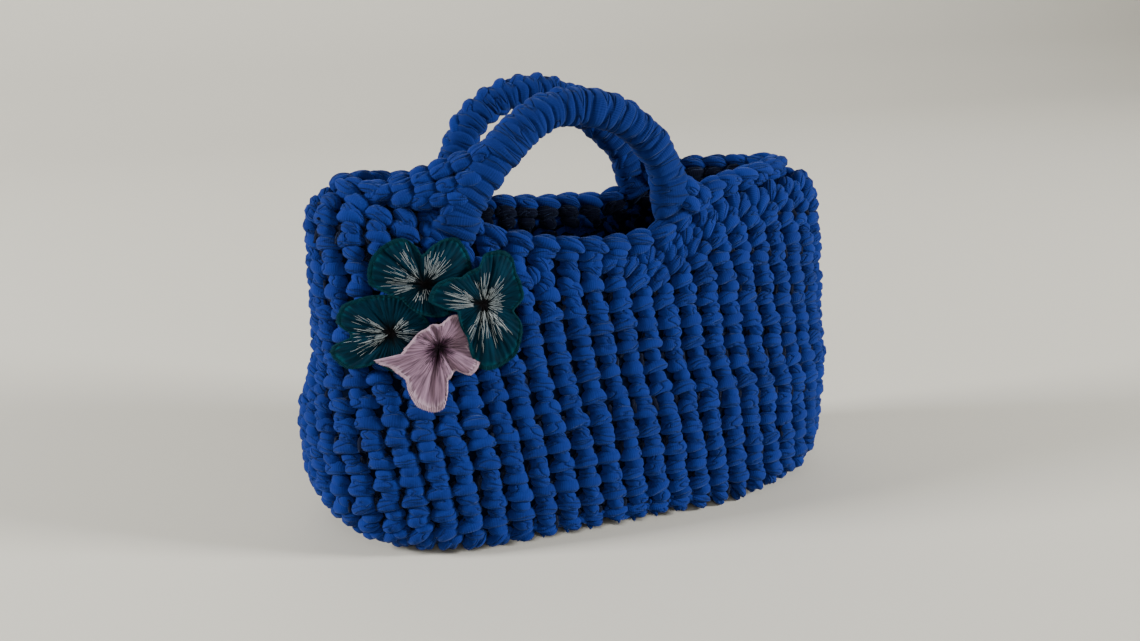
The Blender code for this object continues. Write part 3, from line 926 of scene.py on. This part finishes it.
def arch_line(arch, samples):
    """Middle line of a handle from foot to foot, running down into the rim at both ends."""
    box_low, box_high = [Vector(corner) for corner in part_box(arch.node)]
    middle_y = 0.5 * (box_low.y + box_high.y)
    u = np.linspace(0.0, math.pi, samples)
    x = (arch.middle - arch.half * np.cos(u) + arch.lean * np.sin(u)) * HANDLE_SPAN
    z = HANDLE_TOP + arch.rise * (np.sin(u) - 1.0) * HANDLE_SPAN
    x = x + LEG_FLARE[arch.node] * np.clip(-np.cos(u), 0.0, 1.0) ** 2
    x = x - LEFT_FLARE[arch.node] * np.clip(np.cos(u), 0.0, 1.0) ** 16
    straight = STRAIGHTEN[arch.node]
    x = x + np.where(u < 0.5 * math.pi, straight.left, -straight.right) * np.sin(2.0 * u) ** 2
    y = middle_y + arch.side * 0.0010 * np.sin(u)
    line = np.stack([x, y, z], -1)
    spread = 0.0040
    for end, way in ((0, -1.0), (-1, 1.0)):
        foot = line[end]
        tail = []
        for share in (1.0, 0.75, 0.5, 0.25):
            drop = share * FOOT_SINK
            tail.append(foot + np.array([way * spread * share, -arch.side * 0.0030 * share, -drop]))
        line = np.concatenate([tail, line]) if end == 0 else np.concatenate([line, tail[::-1]])
    run = np.concatenate([[0.0], np.cumsum(np.linalg.norm(np.diff(line, axis=0), axis=1))])
    even = np.linspace(0.0, run[-1], samples)
    return np.stack([np.interp(even, run, line[:, k]) for k in range(3)], -1), even


def windings(total, seed):
    """Edges, heights and crease depths of the windings along a handle."""
    noise = random.Random(seed)
    edges = [0.0]
    while edges[-1] < total:
        edges.append(edges[-1] + noise.uniform(0.0036, 0.0074))
    lifts = [noise.uniform(-0.0005, 0.0006) for _ in edges]
    depths = [noise.uniform(0.5, 1.0) for _ in edges]
    return np.array(edges), np.array(lifts), np.array(depths)


def make_winding(arch, seed, rings=440, sides=36):
    """The wound tube of one handle."""
    line, run = arch_line(arch, rings)
    edges, lifts, depths = windings(run[-1] + 0.012, seed)
    fine_edges, _, fine_depths = windings((run[-1] + 0.012) / FINE_FOLD, seed + 1)
    fine_edges = fine_edges * FINE_FOLD
    ahead = np.gradient(line, axis=0)
    ahead /= np.linalg.norm(ahead, axis=1, keepdims=True)
    across = np.array([0.0, 1.0, 0.0])
    outward = np.cross(across, ahead)
    outward /= np.linalg.norm(outward, axis=1, keepdims=True)
    outward *= np.sign(outward[len(outward) // 2][2])
    noise = random.Random(seed + 2)
    phases = [noise.uniform(0.0, math.tau) for _ in range(6)]
    bm = bmesh.new()
    layer = bm.loops.layers.uv.new("UVMap")
    grid = []
    for i in range(rings):
        share = run[i] / run[-1]
        foot = abs(2.0 * share - 1.0) ** 4
        slim = HANDLE_SLIM[arch.node]
        width = HANDLE_WIDTH * (1.0 - slim.left + (slim.left - slim.right) * share)
        width += (FOOT_WIDTH - HANDLE_WIDTH) * foot
        thick = HANDLE_DEPTH + (FOOT_DEPTH - HANDLE_DEPTH) * foot
        ring = []
        for j in range(sides):
            turn = math.tau * j / sides
            slant = 0.0016 * math.sin(turn + 0.6 * math.sin(9.0 * share + phases[0]))
            slant += 0.0005 * math.sin(3.0 * turn + 23.0 * share + phases[1])
            at = run[i] + slant + 0.004
            k = int(np.clip(np.searchsorted(edges, at) - 1, 0, len(edges) - 2))
            part = (at - edges[k]) / (edges[k + 1] - edges[k])
            crown = 1.0 - abs(2.0 * part - 1.0) ** 3.5
            m = int(np.clip(np.searchsorted(fine_edges, at) - 1, 0, len(fine_edges) - 2))
            fine_part = (at - fine_edges[m]) / (fine_edges[m + 1] - fine_edges[m])
            fine_crown = 1.0 - abs(2.0 * fine_part - 1.0) ** 3
            lift = lifts[k] + CREASE * depths[k] * (crown - 1.0) + FINE_CREASE * fine_depths[m] * (fine_crown - 1.0)
            c = math.cos(turn)
            s = math.sin(turn)
            power = 2.0 / 2.5
            out = (0.5 * width + lift) * math.copysign(abs(c) ** power, c)
            side = (0.5 * thick + lift) * math.copysign(abs(s) ** power, s)
            ring.append(bm.verts.new(line[i] + outward[i] * out + across * side))
        grid.append(ring)
    for i in range(rings - 1):
        for j in range(sides):
            after = (j + 1) % sides
            face = bm.faces.new((grid[i][j], grid[i][after], grid[i + 1][after], grid[i + 1][j]))
            face.smooth = True
            around = (j, j + 1, j + 1, j)
            along = (run[i], run[i], run[i + 1], run[i + 1])
            for loop, u, v in zip(face.loops, around, along):
                loop[layer].uv = (u / sides, v * 400.0)
    bm.faces.new(grid[0])
    bm.faces.new(grid[-1])
    bmesh.ops.recalc_face_normals(bm, faces=bm.faces)
    mesh = bpy.data.meshes.new(arch.node + "_winding")
    bm.to_mesh(mesh)
    bm.free()
    mesh.materials.append(wound)
    piece = bpy.data.objects.new(arch.node + "_winding", mesh)
    bpy.context.scene.collection.objects.link(piece)
    print(piece.name, "windings:", len(edges), "faces:", len(mesh.polygons))
    return piece


winding_front = make_winding(ARCHES[0], 21)
winding_back = make_winding(ARCHES[1], 31)

# %% Plait along each handle
PLAIT_PITCH = 0.0080
PLAIT_SLANT = math.radians(40.0)
PLAIT_SINK = {"handle_front": 0.0044, "handle_back": 0.0054}
PlaitTurn = namedtuple("PlaitTurn", "left right")
PLAIT_TURNS = {"handle_front": PlaitTurn(56.0, -8.0), "handle_back": PlaitTurn(14.0, 6.0)}
plait_shapes = shape_set("plait_shapes", [
    strand_mesh(f"plait_strand_{number}", 0.0118, 0.0068, 0.0066, bend=0.0005 * (number - 1), dive=0.36,
                stations=8, sides=9)
    for number in range(3)
])


def make_plait(arch, seed):
    """Two rows of slanting loops that meet along a handle where its winding was crocheted shut."""
    line, run = arch_line(arch, 400)
    noise = random.Random(seed)
    cells = Cells()
    ahead_all = np.gradient(line, axis=0)
    ahead_all /= np.linalg.norm(ahead_all, axis=1, keepdims=True)
    inner = np.array([0.0, -arch.side, 0.0])
    low_middle = line[[0, -1]].mean(axis=0)
    turns = PLAIT_TURNS[arch.node]
    count = int((run[-1] - 0.010) / PLAIT_PITCH)
    for k in range(count):
        at = int(np.searchsorted(run, 0.005 + (k + 0.5) * PLAIT_PITCH))
        turn = math.radians(turns.left + (turns.right - turns.left) * run[at] / run[-1])
        radius = 0.5 * math.hypot(HANDLE_DEPTH * math.cos(turn), HANDLE_WIDTH * math.sin(turn))
        ahead = ahead_all[at]
        outward = np.cross(inner, ahead)
        outward *= math.copysign(1.0, np.dot(outward, line[at] - low_middle))
        facing = inner * math.cos(turn) + outward * math.sin(turn)
        across = outward * math.cos(turn) - inner * math.sin(turn)
        for side in (-1.0, 1.0):
            run_way = ahead * math.cos(PLAIT_SLANT) + across * math.sin(PLAIT_SLANT) * side
            spot = line[at] + facing * (radius - PLAIT_SINK[arch.node]) + across * side * 0.0041
            spot = spot + ahead * (0.0 if side < 0 else 0.5 * PLAIT_PITCH)
            away = facing * 0.90 + across * side * 0.42
            cells.add(spot, run_way, away / np.linalg.norm(away), (1.0, 1.0, 1.0), noise.randrange(3))
    return lay(arch.node + "_plait", cells, plait_shapes, yarn, turn=0.10, uneven=0.07, seed=seed)


plait_front = make_plait(ARCHES[0], 51)
plait_back = make_plait(ARCHES[1], 61)

# %% Stitches that carry each foot into the rim
FOOT_STEP = 0.0088
FOOT_DROP = 0.0060
FootRow = namedtuple("FootRow", "out climb")
Foot = namedtuple("Foot", "arch end way rows")
FEET = [
    Foot(ARCHES[0], 0, -1.0, (FootRow(0.029, 0.046), FootRow(0.021, 0.034), FootRow(0.014, 0.023))),
    Foot(ARCHES[0], -1, 1.0, (FootRow(0.014, 0.019), FootRow(0.007, 0.011))),
    Foot(ARCHES[1], 0, -1.0, (FootRow(0.010, 0.018), FootRow(0.005, 0.010))),
    Foot(ARCHES[1], -1, 1.0, (FootRow(0.011, 0.017), FootRow(0.006, 0.010))),
]


def make_feet(arch, seed):
    """Slanting rows of stitches that rise from the rim to a handle's outer edge at each foot."""
    line, run = arch_line(arch, 400)
    noise = random.Random(seed)
    cells = Cells()
    on_side = crest_place[np.sign(crest_place[:, 1]) == arch.side]
    for foot in FEET:
        if foot.arch is not arch:
            continue
        for row, (out_by, climb) in enumerate(foot.rows):
            at = int(np.searchsorted(run, climb if foot.end == 0 else run[-1] - climb))
            x = line[foot.end][0] + foot.way * out_by
            nearest = on_side[np.argmin(np.abs(on_side[:, 0] - x))]
            start = nearest - np.array([0.0, 0.0, FOOT_DROP])
            stop = line[at] + np.array([foot.way * (0.34 * HANDLE_WIDTH - 0.0012 * row), 0.0, 0.0])
            slope = stop - start
            length = np.linalg.norm(slope)
            slope /= length
            ridge = np.array([slope[2] * foot.way, 0.0, abs(slope[0])])
            count = max(1, round(length / FOOT_STEP))
            for k in range(count):
                spot = start + slope * length * (k + 0.5) / count
                faces = (-1.0, 0.0, 1.0) if row == 0 else (-1.0, 1.0)
                for face in faces:
                    out = ridge if face == 0.0 else np.array([0.10 * foot.way, face, 0.10])
                    depth = 0.5 * HANDLE_DEPTH - 0.0020 - (0.0016 if row == 0 else 0.0)
                    place = spot + out * (0.0016 if face == 0.0 else 0.0) + np.array([0.0, face * depth, 0.0])
                    right = slope if face >= 0.0 else -slope
                    cells.add(place, right, out, (1.0, 1.0, 1.0), noise.randrange(3))
    return lay(arch.node + "_foot_stitches", cells, foot_shapes, yarn, turn=0.16, uneven=0.09, seed=seed)


foot_shapes = shape_set("foot_shapes", [
    strand_mesh(f"foot_loop_{number}", 0.0112, 0.0074, 0.0068, bend=0.0006 * (number - 1), dive=0.36,
                stations=8, sides=9)
    for number in range(3)
])
feet_front = make_feet(ARCHES[0], 57)
feet_back = make_feet(ARCHES[1], 67)

# %% [markdown]
# ## The flowers
# Four fabric flowers are sewn on in a cluster, each over the edge of another. Each is a thin sheet
# cut into rounded petals, so its outline is the outermost of several petals at every angle, with a
# notch where two cross. The sheet is draped over the wall and its petals ruffle up at the edge.

# %% Places and petals of the flowers
FLOWER_RADIUS = 0.0220
LAYER_STEP = 0.0019
SHEET_THICKNESS = 0.0006
Flower = namedtuple("Flower", "node colour along height layer")
FLOWERS = [
    Flower("flower_teal_lower", "teal", -0.740, 0.772, 0),
    Flower("flower_teal_upper", "teal", -0.634, 0.921, 1),
    Flower("flower_mauve", "mauve", -0.604, 0.724, 2),
    Flower("flower_teal_right", "teal", -0.463, 0.847, 3),
]
Bulge = namedtuple("Bulge", "x z")
OUTLINES = {
    "flower_teal_upper": [
        Bulge(20, 6), Bulge(19, 11), Bulge(16, 16), Bulge(11, 17), Bulge(5, 15), Bulge(0, 12), Bulge(-2, 15),
        Bulge(-6, 18), Bulge(-12, 17), Bulge(-18, 13), Bulge(-21, 6), Bulge(-21, 1), Bulge(-15, -3),
        Bulge(-9, -6), Bulge(-2, -12), Bulge(6, -14), Bulge(14, -9), Bulge(20, 0),
    ],
    "flower_teal_right": [
        Bulge(16, 9), Bulge(18, 2), Bulge(13, -4), Bulge(16, -10), Bulge(15, -17), Bulge(12, -24),
        Bulge(6, -27), Bulge(0, -28), Bulge(-4, -26), Bulge(-6, -21), Bulge(-8, -12), Bulge(-11, -2),
        Bulge(-18, 1), Bulge(-22, 4), Bulge(-20, 9), Bulge(-14, 12), Bulge(-8, 12), Bulge(-2, 14),
        Bulge(3, 19), Bulge(9, 19), Bulge(15, 16),
    ],
    "flower_teal_lower": [
        Bulge(12, 9), Bulge(5, 15), Bulge(-2, 16), Bulge(-10, 15), Bulge(-18, 10), Bulge(-19, 5),
        Bulge(-15, -2), Bulge(-21, -7), Bulge(-22, -12), Bulge(-18, -16), Bulge(-11, -15), Bulge(-6, -13),
        Bulge(0, -17), Bulge(7, -18), Bulge(14, -11), Bulge(16, 0),
    ],
    "flower_mauve": [
        Bulge(14, 10), Bulge(8, 13), Bulge(0, 10), Bulge(-7, 7), Bulge(-11, 3), Bulge(-15, -2),
        Bulge(-24, -4), Bulge(-18, -8), Bulge(-14, -13), Bulge(-13, -20), Bulge(-10, -26), Bulge(-5, -28),
        Bulge(-1, -27), Bulge(1, -22), Bulge(2, -15), Bulge(6, -11), Bulge(12, -13), Bulge(16, -8),
        Bulge(12, -1), Bulge(15, 5),
    ],
}
MILLIMETRE = 0.001


def front_frame(x, z):
    """Points and outward directions of the front wall at places seen from the front."""
    x = np.asarray(x, float)
    z = np.asarray(z, float)
    low = np.zeros_like(x)
    high = np.ones_like(x)
    for _ in range(24):
        middle = 0.5 * (low + high)
        on_crest = x * reach(1.0, x) / reach(middle, x)
        rise = crest_height(on_crest, -HALF_DEPTH) - CREST_LOW
        short = middle * (CREST_LOW - RIM_DROP) + rise * middle ** RISE_POWER < z
        low = np.where(short, middle, low)
        high = np.where(short, high, middle)
    part = np.minimum(0.999, np.abs(x) / reach(low, x))
    turn = np.arccos(part ** (square(low) / 2.0))
    angle = np.where(x > 0.0, -turn, turn - math.pi)
    place, _, _, outward = wall_frame(low, angle)
    return place, outward


def outline_curve(points):
    """Curve of an outline's reach by its turn, for quick reading between its points, and its mean reach."""
    turns = [math.atan2(point.z, point.x) for point in points]
    order = sorted(range(len(points)), key=lambda k: turns[k])
    turns = [turns[k] for k in order]
    reaches = [math.hypot(points[k].x, points[k].z) * MILLIMETRE for k in order]
    mean = sum(reaches) / len(reaches)
    turns = [turns[-1] - math.tau] + turns + [turns[0] + math.tau]
    reaches = [reaches[-1]] + reaches + [reaches[0]]
    return smooth_table(turns, reaches), mean


CURVES = {node: outline_curve(points) for node, points in OUTLINES.items()}


def petal_edge(flower, angle):
    """Distance from the middle of a flower to its edge, and that over the flower's mean reach."""
    curve, mean = CURVES[flower.node]
    reached = float(curve((angle + math.pi) % math.tau - math.pi))
    return reached, reached / mean


SPOKES = 300
SHARES = [0.03, 0.07, 0.12, 0.18, 0.25, 0.32, 0.39, 0.46, 0.53, 0.60, 0.67, 0.74, 0.80, 0.86, 0.91, 0.95, 0.98, 1.0]
Ruffle = namedtuple("Ruffle", "waves height phase")
RUFFLES = {
    "flower_teal_lower": Ruffle(7, 0.0022, 0.4),
    "flower_teal_upper": Ruffle(6, 0.0020, 1.9),
    "flower_mauve": Ruffle(5, 0.0038, 2.6),
    "flower_teal_right": Ruffle(6, 0.0024, 3.3),
}


def flower_lift(flower, angle, share, reached):
    """How far the sheet stands off the wall: layered, dished, ruffled and ribbed."""
    ruffle = RUFFLES[flower.node]
    wander = angle + 0.5 * math.sin(2.0 * angle + ruffle.phase)
    wave = 0.5 + 0.5 * math.sin(ruffle.waves * wander + ruffle.phase)
    crease = abs(math.sin(0.5 * ruffle.waves * wander + ruffle.phase)) ** 0.5
    cup = 0.0022 * math.sin(math.pi * min(1.0, share * 1.05)) ** 0.8 * reached * crease
    edge = ruffle.height * wave * share ** 2.2
    rib = 0.00020 * math.sin(50.0 * angle) * share
    return 0.0014 + flower.layer * LAYER_STEP + cup + edge + rib


def make_flower(flower, material):
    """Draped, ruffled sheet of one flower."""
    centre_x = flower.along * HALF_LENGTH
    centre_z = flower.height * CREST_LOW
    bm = bmesh.new()
    layer = bm.loops.layers.uv.new("UVMap")
    angles = math.tau * np.arange(SPOKES) / SPOKES
    edges = [petal_edge(flower, angle) for angle in angles]
    radii = np.array([edge[0] for edge in edges])
    middle, outward = front_frame(centre_x, centre_z)
    hub = bm.verts.new(middle + outward * (0.0016 + flower.layer * LAYER_STEP))
    grid = []
    for share in SHARES:
        places, outwards = front_frame(centre_x + radii * share * np.cos(angles),
                                       centre_z + radii * share * np.sin(angles))
        lifts = [flower_lift(flower, angle, share, edge[1]) for angle, edge in zip(angles, edges)]
        grid.append([bm.verts.new(place + out * lift) for place, out, lift in zip(places, outwards, lifts)])
    for k in range(SPOKES):
        after = (k + 1) % SPOKES
        face = bm.faces.new((hub, grid[0][k], grid[0][after]))
        for loop, u, v in zip(face.loops, (k + 0.5, k, k + 1), (0.0, SHARES[0], SHARES[0])):
            loop[layer].uv = (u / SPOKES, v)
        for i in range(len(SHARES) - 1):
            face = bm.faces.new((grid[i][k], grid[i + 1][k], grid[i + 1][after], grid[i][after]))
            for loop, u, v in zip(face.loops, (k, k, k + 1, k + 1), (i, i + 1, i + 1, i)):
                loop[layer].uv = (u / SPOKES, SHARES[v])
    for face in bm.faces:
        face.smooth = True
    mesh = bpy.data.meshes.new(flower.node + "_sheet")
    bm.to_mesh(mesh)
    bm.free()
    mesh.materials.append(material)
    piece = bpy.data.objects.new(flower.node + "_sheet", mesh)
    bpy.context.scene.collection.objects.link(piece)
    wall = piece.modifiers.new("cloth", "SOLIDIFY")
    wall.thickness = SHEET_THICKNESS
    wall.offset = 0.0
    print(piece.name, "faces:", len(mesh.polygons))
    return piece


# %% Fabric of the flowers
def petal_material(name, middle, inner, body, rim, ribs, streaks):
    """Fabric coloured from its middle outwards, ribbed and streaked along its spokes, with painted shade and sheen
    along the ribs and a rim colour that is partly the edge's own and partly painted sheen.
    """
    material, nodes, links, shader = new_material(name, 0.72)
    shader.inputs["Specular IOR Level"].default_value = 0.04
    spoke = nodes.new("ShaderNodeUVMap")
    spoke.uv_map = "UVMap"
    parts = nodes.new("ShaderNodeSeparateXYZ")
    links.new(spoke.outputs["UV"], parts.inputs["Vector"])
    wave = nodes.new("ShaderNodeMapping")
    wave.inputs["Scale"].default_value = (ribs, 2.5, 1.0)
    links.new(spoke.outputs["UV"], wave.inputs["Vector"])
    rib = nodes.new("ShaderNodeTexNoise")
    rib.inputs["Scale"].default_value = 1.0
    rib.inputs["Detail"].default_value = 2.0
    links.new(wave.outputs["Vector"], rib.inputs["Vector"])
    ragged = nodes.new("ShaderNodeMath")
    ragged.operation = "MULTIPLY_ADD"
    ragged.inputs[1].default_value = streaks
    links.new(rib.outputs["Fac"], ragged.inputs[0])
    shifted = nodes.new("ShaderNodeMath")
    shifted.operation = "SUBTRACT"
    shifted.inputs[1].default_value = 0.5 * streaks
    links.new(parts.outputs["Y"], ragged.inputs[2])
    links.new(ragged.outputs["Value"], shifted.inputs[0])
    # the rim colour is lighter than the body: partly the edge's own colour, partly painted sheen where the ruffled
    # edges catch the light
    zones = nodes.new("ShaderNodeValToRGB")
    set_ramp(zones, [(0.0, middle), (0.10, middle), (0.20, inner), (0.42, body), (0.86, body), (0.93, rim), (1.0, rim)])
    links.new(shifted.outputs["Value"], zones.inputs["Fac"])
    # painted shade and sheen: the rib noise that bumps the sheet also darkens its low streaks and lightens its high
    # ones
    rib_shade_and_sheen = nodes.new("ShaderNodeMix")
    rib_shade_and_sheen.data_type = "RGBA"
    rib_shade_and_sheen.blend_type = "MULTIPLY"
    rib_shade_and_sheen.inputs["Factor"].default_value = 0.80
    shade = nodes.new("ShaderNodeValToRGB")
    set_ramp(shade, [(0.32, (0.30, 0.30, 0.30, 1)), (0.60, (1.15, 1.15, 1.15, 1))])
    links.new(rib.outputs["Fac"], shade.inputs["Fac"])
    links.new(zones.outputs["Color"], rib_shade_and_sheen.inputs["A"])
    links.new(shade.outputs["Color"], rib_shade_and_sheen.inputs["B"])
    links.new(rib_shade_and_sheen.outputs["Result"], shader.inputs["Base Color"])
    bump = nodes.new("ShaderNodeBump")
    bump.inputs["Strength"].default_value = 0.6
    bump.inputs["Distance"].default_value = 0.0005
    links.new(rib.outputs["Fac"], bump.inputs["Height"])
    links.new(bump.outputs["Normal"], shader.inputs["Normal"])
    material.diffuse_color = body
    return material


# the last colour of each fabric is its rim: partly the edge's own colour, partly painted sheen
TEAL = petal_material("teal_fabric", (0.0020, 0.0015, 0.0020, 1), (0.0006, 0.0045, 0.0075, 1),
                      (0.0008, 0.0140, 0.0275, 1), (0.0014, 0.0290, 0.0440, 1), 70.0, 0.20)
MAUVE = petal_material("mauve_fabric", (0.0050, 0.0020, 0.0050, 1), (0.0450, 0.0180, 0.0380, 1),
                       (0.2100, 0.1300, 0.1850, 1), (0.3300, 0.2350, 0.3000, 1), 130.0, 0.26)
sheets = [make_flower(flower, MAUVE if flower.colour == "mauve" else TEAL) for flower in FLOWERS]

# %% [markdown]
# ## Thread on the flowers
# Silver thread strokes radiate from each middle, and a close overlock stitch binds each edge. Both
# follow rules of their own, so the laying tree places them too, on points that the flower's own
# outline gives.

# %% Thread materials
silver, _, _, silver_shader = new_material("silver_thread", 0.42)
silver_shader.inputs["Base Color"].default_value = (0.30, 0.34, 0.35, 1.0)
silver_shader.inputs["Metallic"].default_value = 0.35
teal_thread, _, _, teal_thread_shader = new_material("teal_thread", 0.65)
teal_thread_shader.inputs["Base Color"].default_value = (0.0022, 0.0250, 0.0360, 1.0)
mauve_thread, _, _, mauve_thread_shader = new_material("mauve_thread", 0.65)
mauve_thread_shader.inputs["Base Color"].default_value = (0.36, 0.25, 0.31, 1.0)
dark_thread, _, _, dark_thread_shader = new_material("dark_thread", 0.70)
dark_thread_shader.inputs["Base Color"].default_value = (0.010, 0.006, 0.008, 1.0)
for thread_shader in (teal_thread_shader, mauve_thread_shader, dark_thread_shader):
    thread_shader.inputs["Specular IOR Level"].default_value = 0.05


# %% Strokes and bound edges
def thread_strand(name, length, width):
    """Thin thread along X."""
    return strand_mesh(name, length, width, width, dive=0.3, stations=5, sides=5)


stroke_shapes = shape_set("stroke_shapes", [thread_strand("stroke", 0.001, 0.00017)])
edge_shapes = shape_set("edge_shapes", [thread_strand("edge_stitch", 0.0016, 0.00045)])


def sheet_spot(flower, angle, share):
    """Point on a flower's sheet with the wall's outward direction."""
    radius, across = petal_edge(flower, angle)
    radius *= share
    x = flower.along * HALF_LENGTH + radius * math.cos(angle)
    z = flower.height * CREST_LOW + radius * math.sin(angle)
    place, outward = front_frame(x, z)
    lift = flower_lift(flower, angle, share, across) + 0.5 * SHEET_THICKNESS + 0.00012
    return Vector(place + outward * lift), outward


Fan = namedtuple("Fan", "node start stop count near far")
FANS = [
    Fan("flower_teal_upper", 112, 200, 30, 5.0, 17.0),
    Fan("flower_teal_upper", 28, 88, 24, 4.5, 15.0),
    Fan("flower_teal_upper", 228, 330, 18, 3.0, 8.0),
    Fan("flower_teal_right", 142, 186, 18, 5.0, 17.0),
    Fan("flower_teal_right", 28, 112, 26, 3.0, 12.0),
    Fan("flower_teal_right", -34, 26, 18, 3.0, 10.0),
    Fan("flower_teal_right", 236, 318, 36, 4.0, 19.0),
    Fan("flower_teal_lower", 140, 180, 18, 4.0, 15.0),
    Fan("flower_teal_lower", 184, 226, 24, 3.0, 17.0),
    Fan("flower_teal_lower", -30, 60, 22, 3.0, 11.0),
    Fan("flower_mauve", 0, 360, 52, 1.0, 8.5),
    Fan("flower_mauve", 225, 290, 12, 4.0, 13.0),
]


def make_strokes(flower, material, seed):
    """Thread strokes that radiate from a flower's middle in fans."""
    noise = random.Random(seed)
    cells = Cells()
    for fan in FANS:
        if fan.node != flower.node:
            continue
        for k in range(fan.count):
            part = (k + noise.uniform(-0.4, 0.4)) / fan.count
            angle = math.radians(fan.start + (fan.stop - fan.start) * part)
            edge = petal_edge(flower, angle)[0] / MILLIMETRE
            begin = (fan.near + noise.uniform(-1.0, 2.5)) / edge
            end = min(0.88, (fan.near + (fan.far - fan.near) * noise.uniform(0.45, 1.0)) / edge)
            pieces = max(2, int((end - begin) * edge / 5.0))
            bow = noise.uniform(-0.05, 0.05)
            steps = [begin + (end - begin) * step / pieces for step in range(pieces + 1)]
            spots = [sheet_spot(flower, angle + bow * step / pieces, share) for step, share in enumerate(steps)]
            for (a, outward), (b, _) in zip(spots, spots[1:]):
                step = b - a
                if step.length > 0.0003:
                    cells.add((a + b) * 0.5, step.normalized(), outward, (step.length * 1250.0, 1.0, 1.0), 0)
    return lay(f"{flower.node}_strokes", cells, stroke_shapes, material, turn=0.02, uneven=0.03, seed=seed)


def make_edge(flower, count, material, seed):
    """Overlock stitches that bind a flower's edge."""
    cells = Cells()
    noise = random.Random(seed)
    for k in range(count):
        angle = math.tau * k / count
        a, outward = sheet_spot(flower, angle, 0.93)
        b, _ = sheet_spot(flower, angle, 1.0)
        step = b - a
        cells.add(b - step * 0.45, step.normalized(), outward, (step.length * 780.0, noise.uniform(0.8, 1.3), 1.0), 0)
    return lay(f"{flower.node}_edge", cells, edge_shapes, material, turn=0.10, uneven=0.10, seed=seed)


threads = []
for number, flower in enumerate(FLOWERS):
    if flower.colour == "teal":
        threads.append(make_strokes(flower, silver, 71 + number))
        threads.append(make_edge(flower, 260, teal_thread, 81 + number))
    else:
        threads.append(make_strokes(flower, dark_thread, 71 + number))
        threads.append(make_edge(flower, 260, mauve_thread, 81 + number))

# %% [markdown]
# ## Floor and light
# The bag stands on a seamless pale grey surface under broad soft light from above and the front.

# %% Floor
floor_material, floor_nodes, floor_links, floor_shader = new_material("studio_paper", 0.9)
floor_shader.inputs["Base Color"].default_value = (0.62, 0.597, 0.525, 1.0)
floor_shader.inputs["Specular IOR Level"].default_value = 0.1
bm = bmesh.new()
cove = [(1.1, 0.0), (1.5, 0.05), (1.8, 0.2), (2.0, 0.5), (2.1, 0.9), (2.1, 2.6)]
profile = [(-y - 0.6, z) for y, z in reversed(cove)] + cove
near = [bm.verts.new((-4.0, y, z)) for y, z in profile]
far = [bm.verts.new((4.0, y, z)) for y, z in profile]
for k in range(len(profile) - 1):
    bm.faces.new((near[k], far[k], far[k + 1], near[k + 1])).smooth = True
floor_mesh = bpy.data.meshes.new("studio_floor")
bm.to_mesh(floor_mesh)
bm.free()
floor_mesh.materials.append(floor_material)
floor = bpy.data.objects.new("studio_floor", floor_mesh)
bpy.context.scene.collection.objects.link(floor)

# %% Lights
def soft_light(name, place, aim, size, power):
    """Square area light that faces a point."""
    data = bpy.data.lights.new(name, "AREA")
    data.shape = "SQUARE"
    data.size = size
    data.energy = power
    lamp = bpy.data.objects.new(name, data)
    lamp.location = place
    lamp.rotation_euler = (Vector(place) - Vector(aim)).to_track_quat("Z", "Y").to_euler()
    bpy.context.scene.collection.objects.link(lamp)
    return lamp


soft_light("top_light", (0.1, 0.1, 1.6), (0.0, 0.0, 0.08), 1.4, 1.5)
soft_light("front_light", (-0.55, -1.30, 1.05), (0.0, 0.0, 0.08), 1.0, 6.5)
soft_light("right_light", (1.90, -1.25, 0.85), (0.0, 0.0, 0.08), 0.5, 100.0)
soft_light("left_light", (-2.10, 0.30, 0.95), (0.0, 0.0, 0.08), 0.5, 88.0)
soft_light("backdrop_light", (0.2, 0.7, 1.5), (0.5, 2.1, 0.4), 1.2, 10.0)
world = bpy.data.worlds.new("studio")
world.use_nodes = True
world.node_tree.nodes["Background"].inputs["Color"].default_value = (1.0, 0.98, 0.95, 1.0)
world.node_tree.nodes["Background"].inputs["Strength"].default_value = 0.06
bpy.context.scene.world = world

# %% Ride, replace and finish
for piece in (wall_bars, wall_legs, inner_wall_bars, inner_wall_legs, base_bars, base_legs, painted_shadow_shell):
    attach(piece, "root")
    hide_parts("bag_body")
for piece in (rim, rim_under_bars, rim_under_legs, rim_inside_bars, rim_inside_legs):
    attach(piece, "root")
    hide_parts("rim_round")
front_pieces = (winding_front, plait_front, feet_front)
back_pieces = (winding_back, plait_back, feet_back)
for arch, pieces in zip(ARCHES, (front_pieces, back_pieces)):
    for piece in pieces:
        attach(piece, "root")
        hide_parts(arch.node)
for number, (flower, piece) in enumerate(zip(FLOWERS, sheets)):
    for part in (piece, threads[2 * number], threads[2 * number + 1]):
        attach(part, "root")
        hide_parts(flower.node)

for number, (flower, piece) in enumerate(zip(FLOWERS, sheets)):
    cut = np.array([[petal_edge(flower, angle)[0] * math.cos(angle), petal_edge(flower, angle)[0] * math.sin(angle)]
                    for angle in np.linspace(0.0, math.tau, SPOKES, endpoint=False)])

for piece in bpy.context.scene.objects:
    if piece.type == "MESH" and len(piece.data.vertices) > 8:
        print("lowest of", piece.name, round(min(vertex.co.z for vertex in piece.data.vertices), 5))
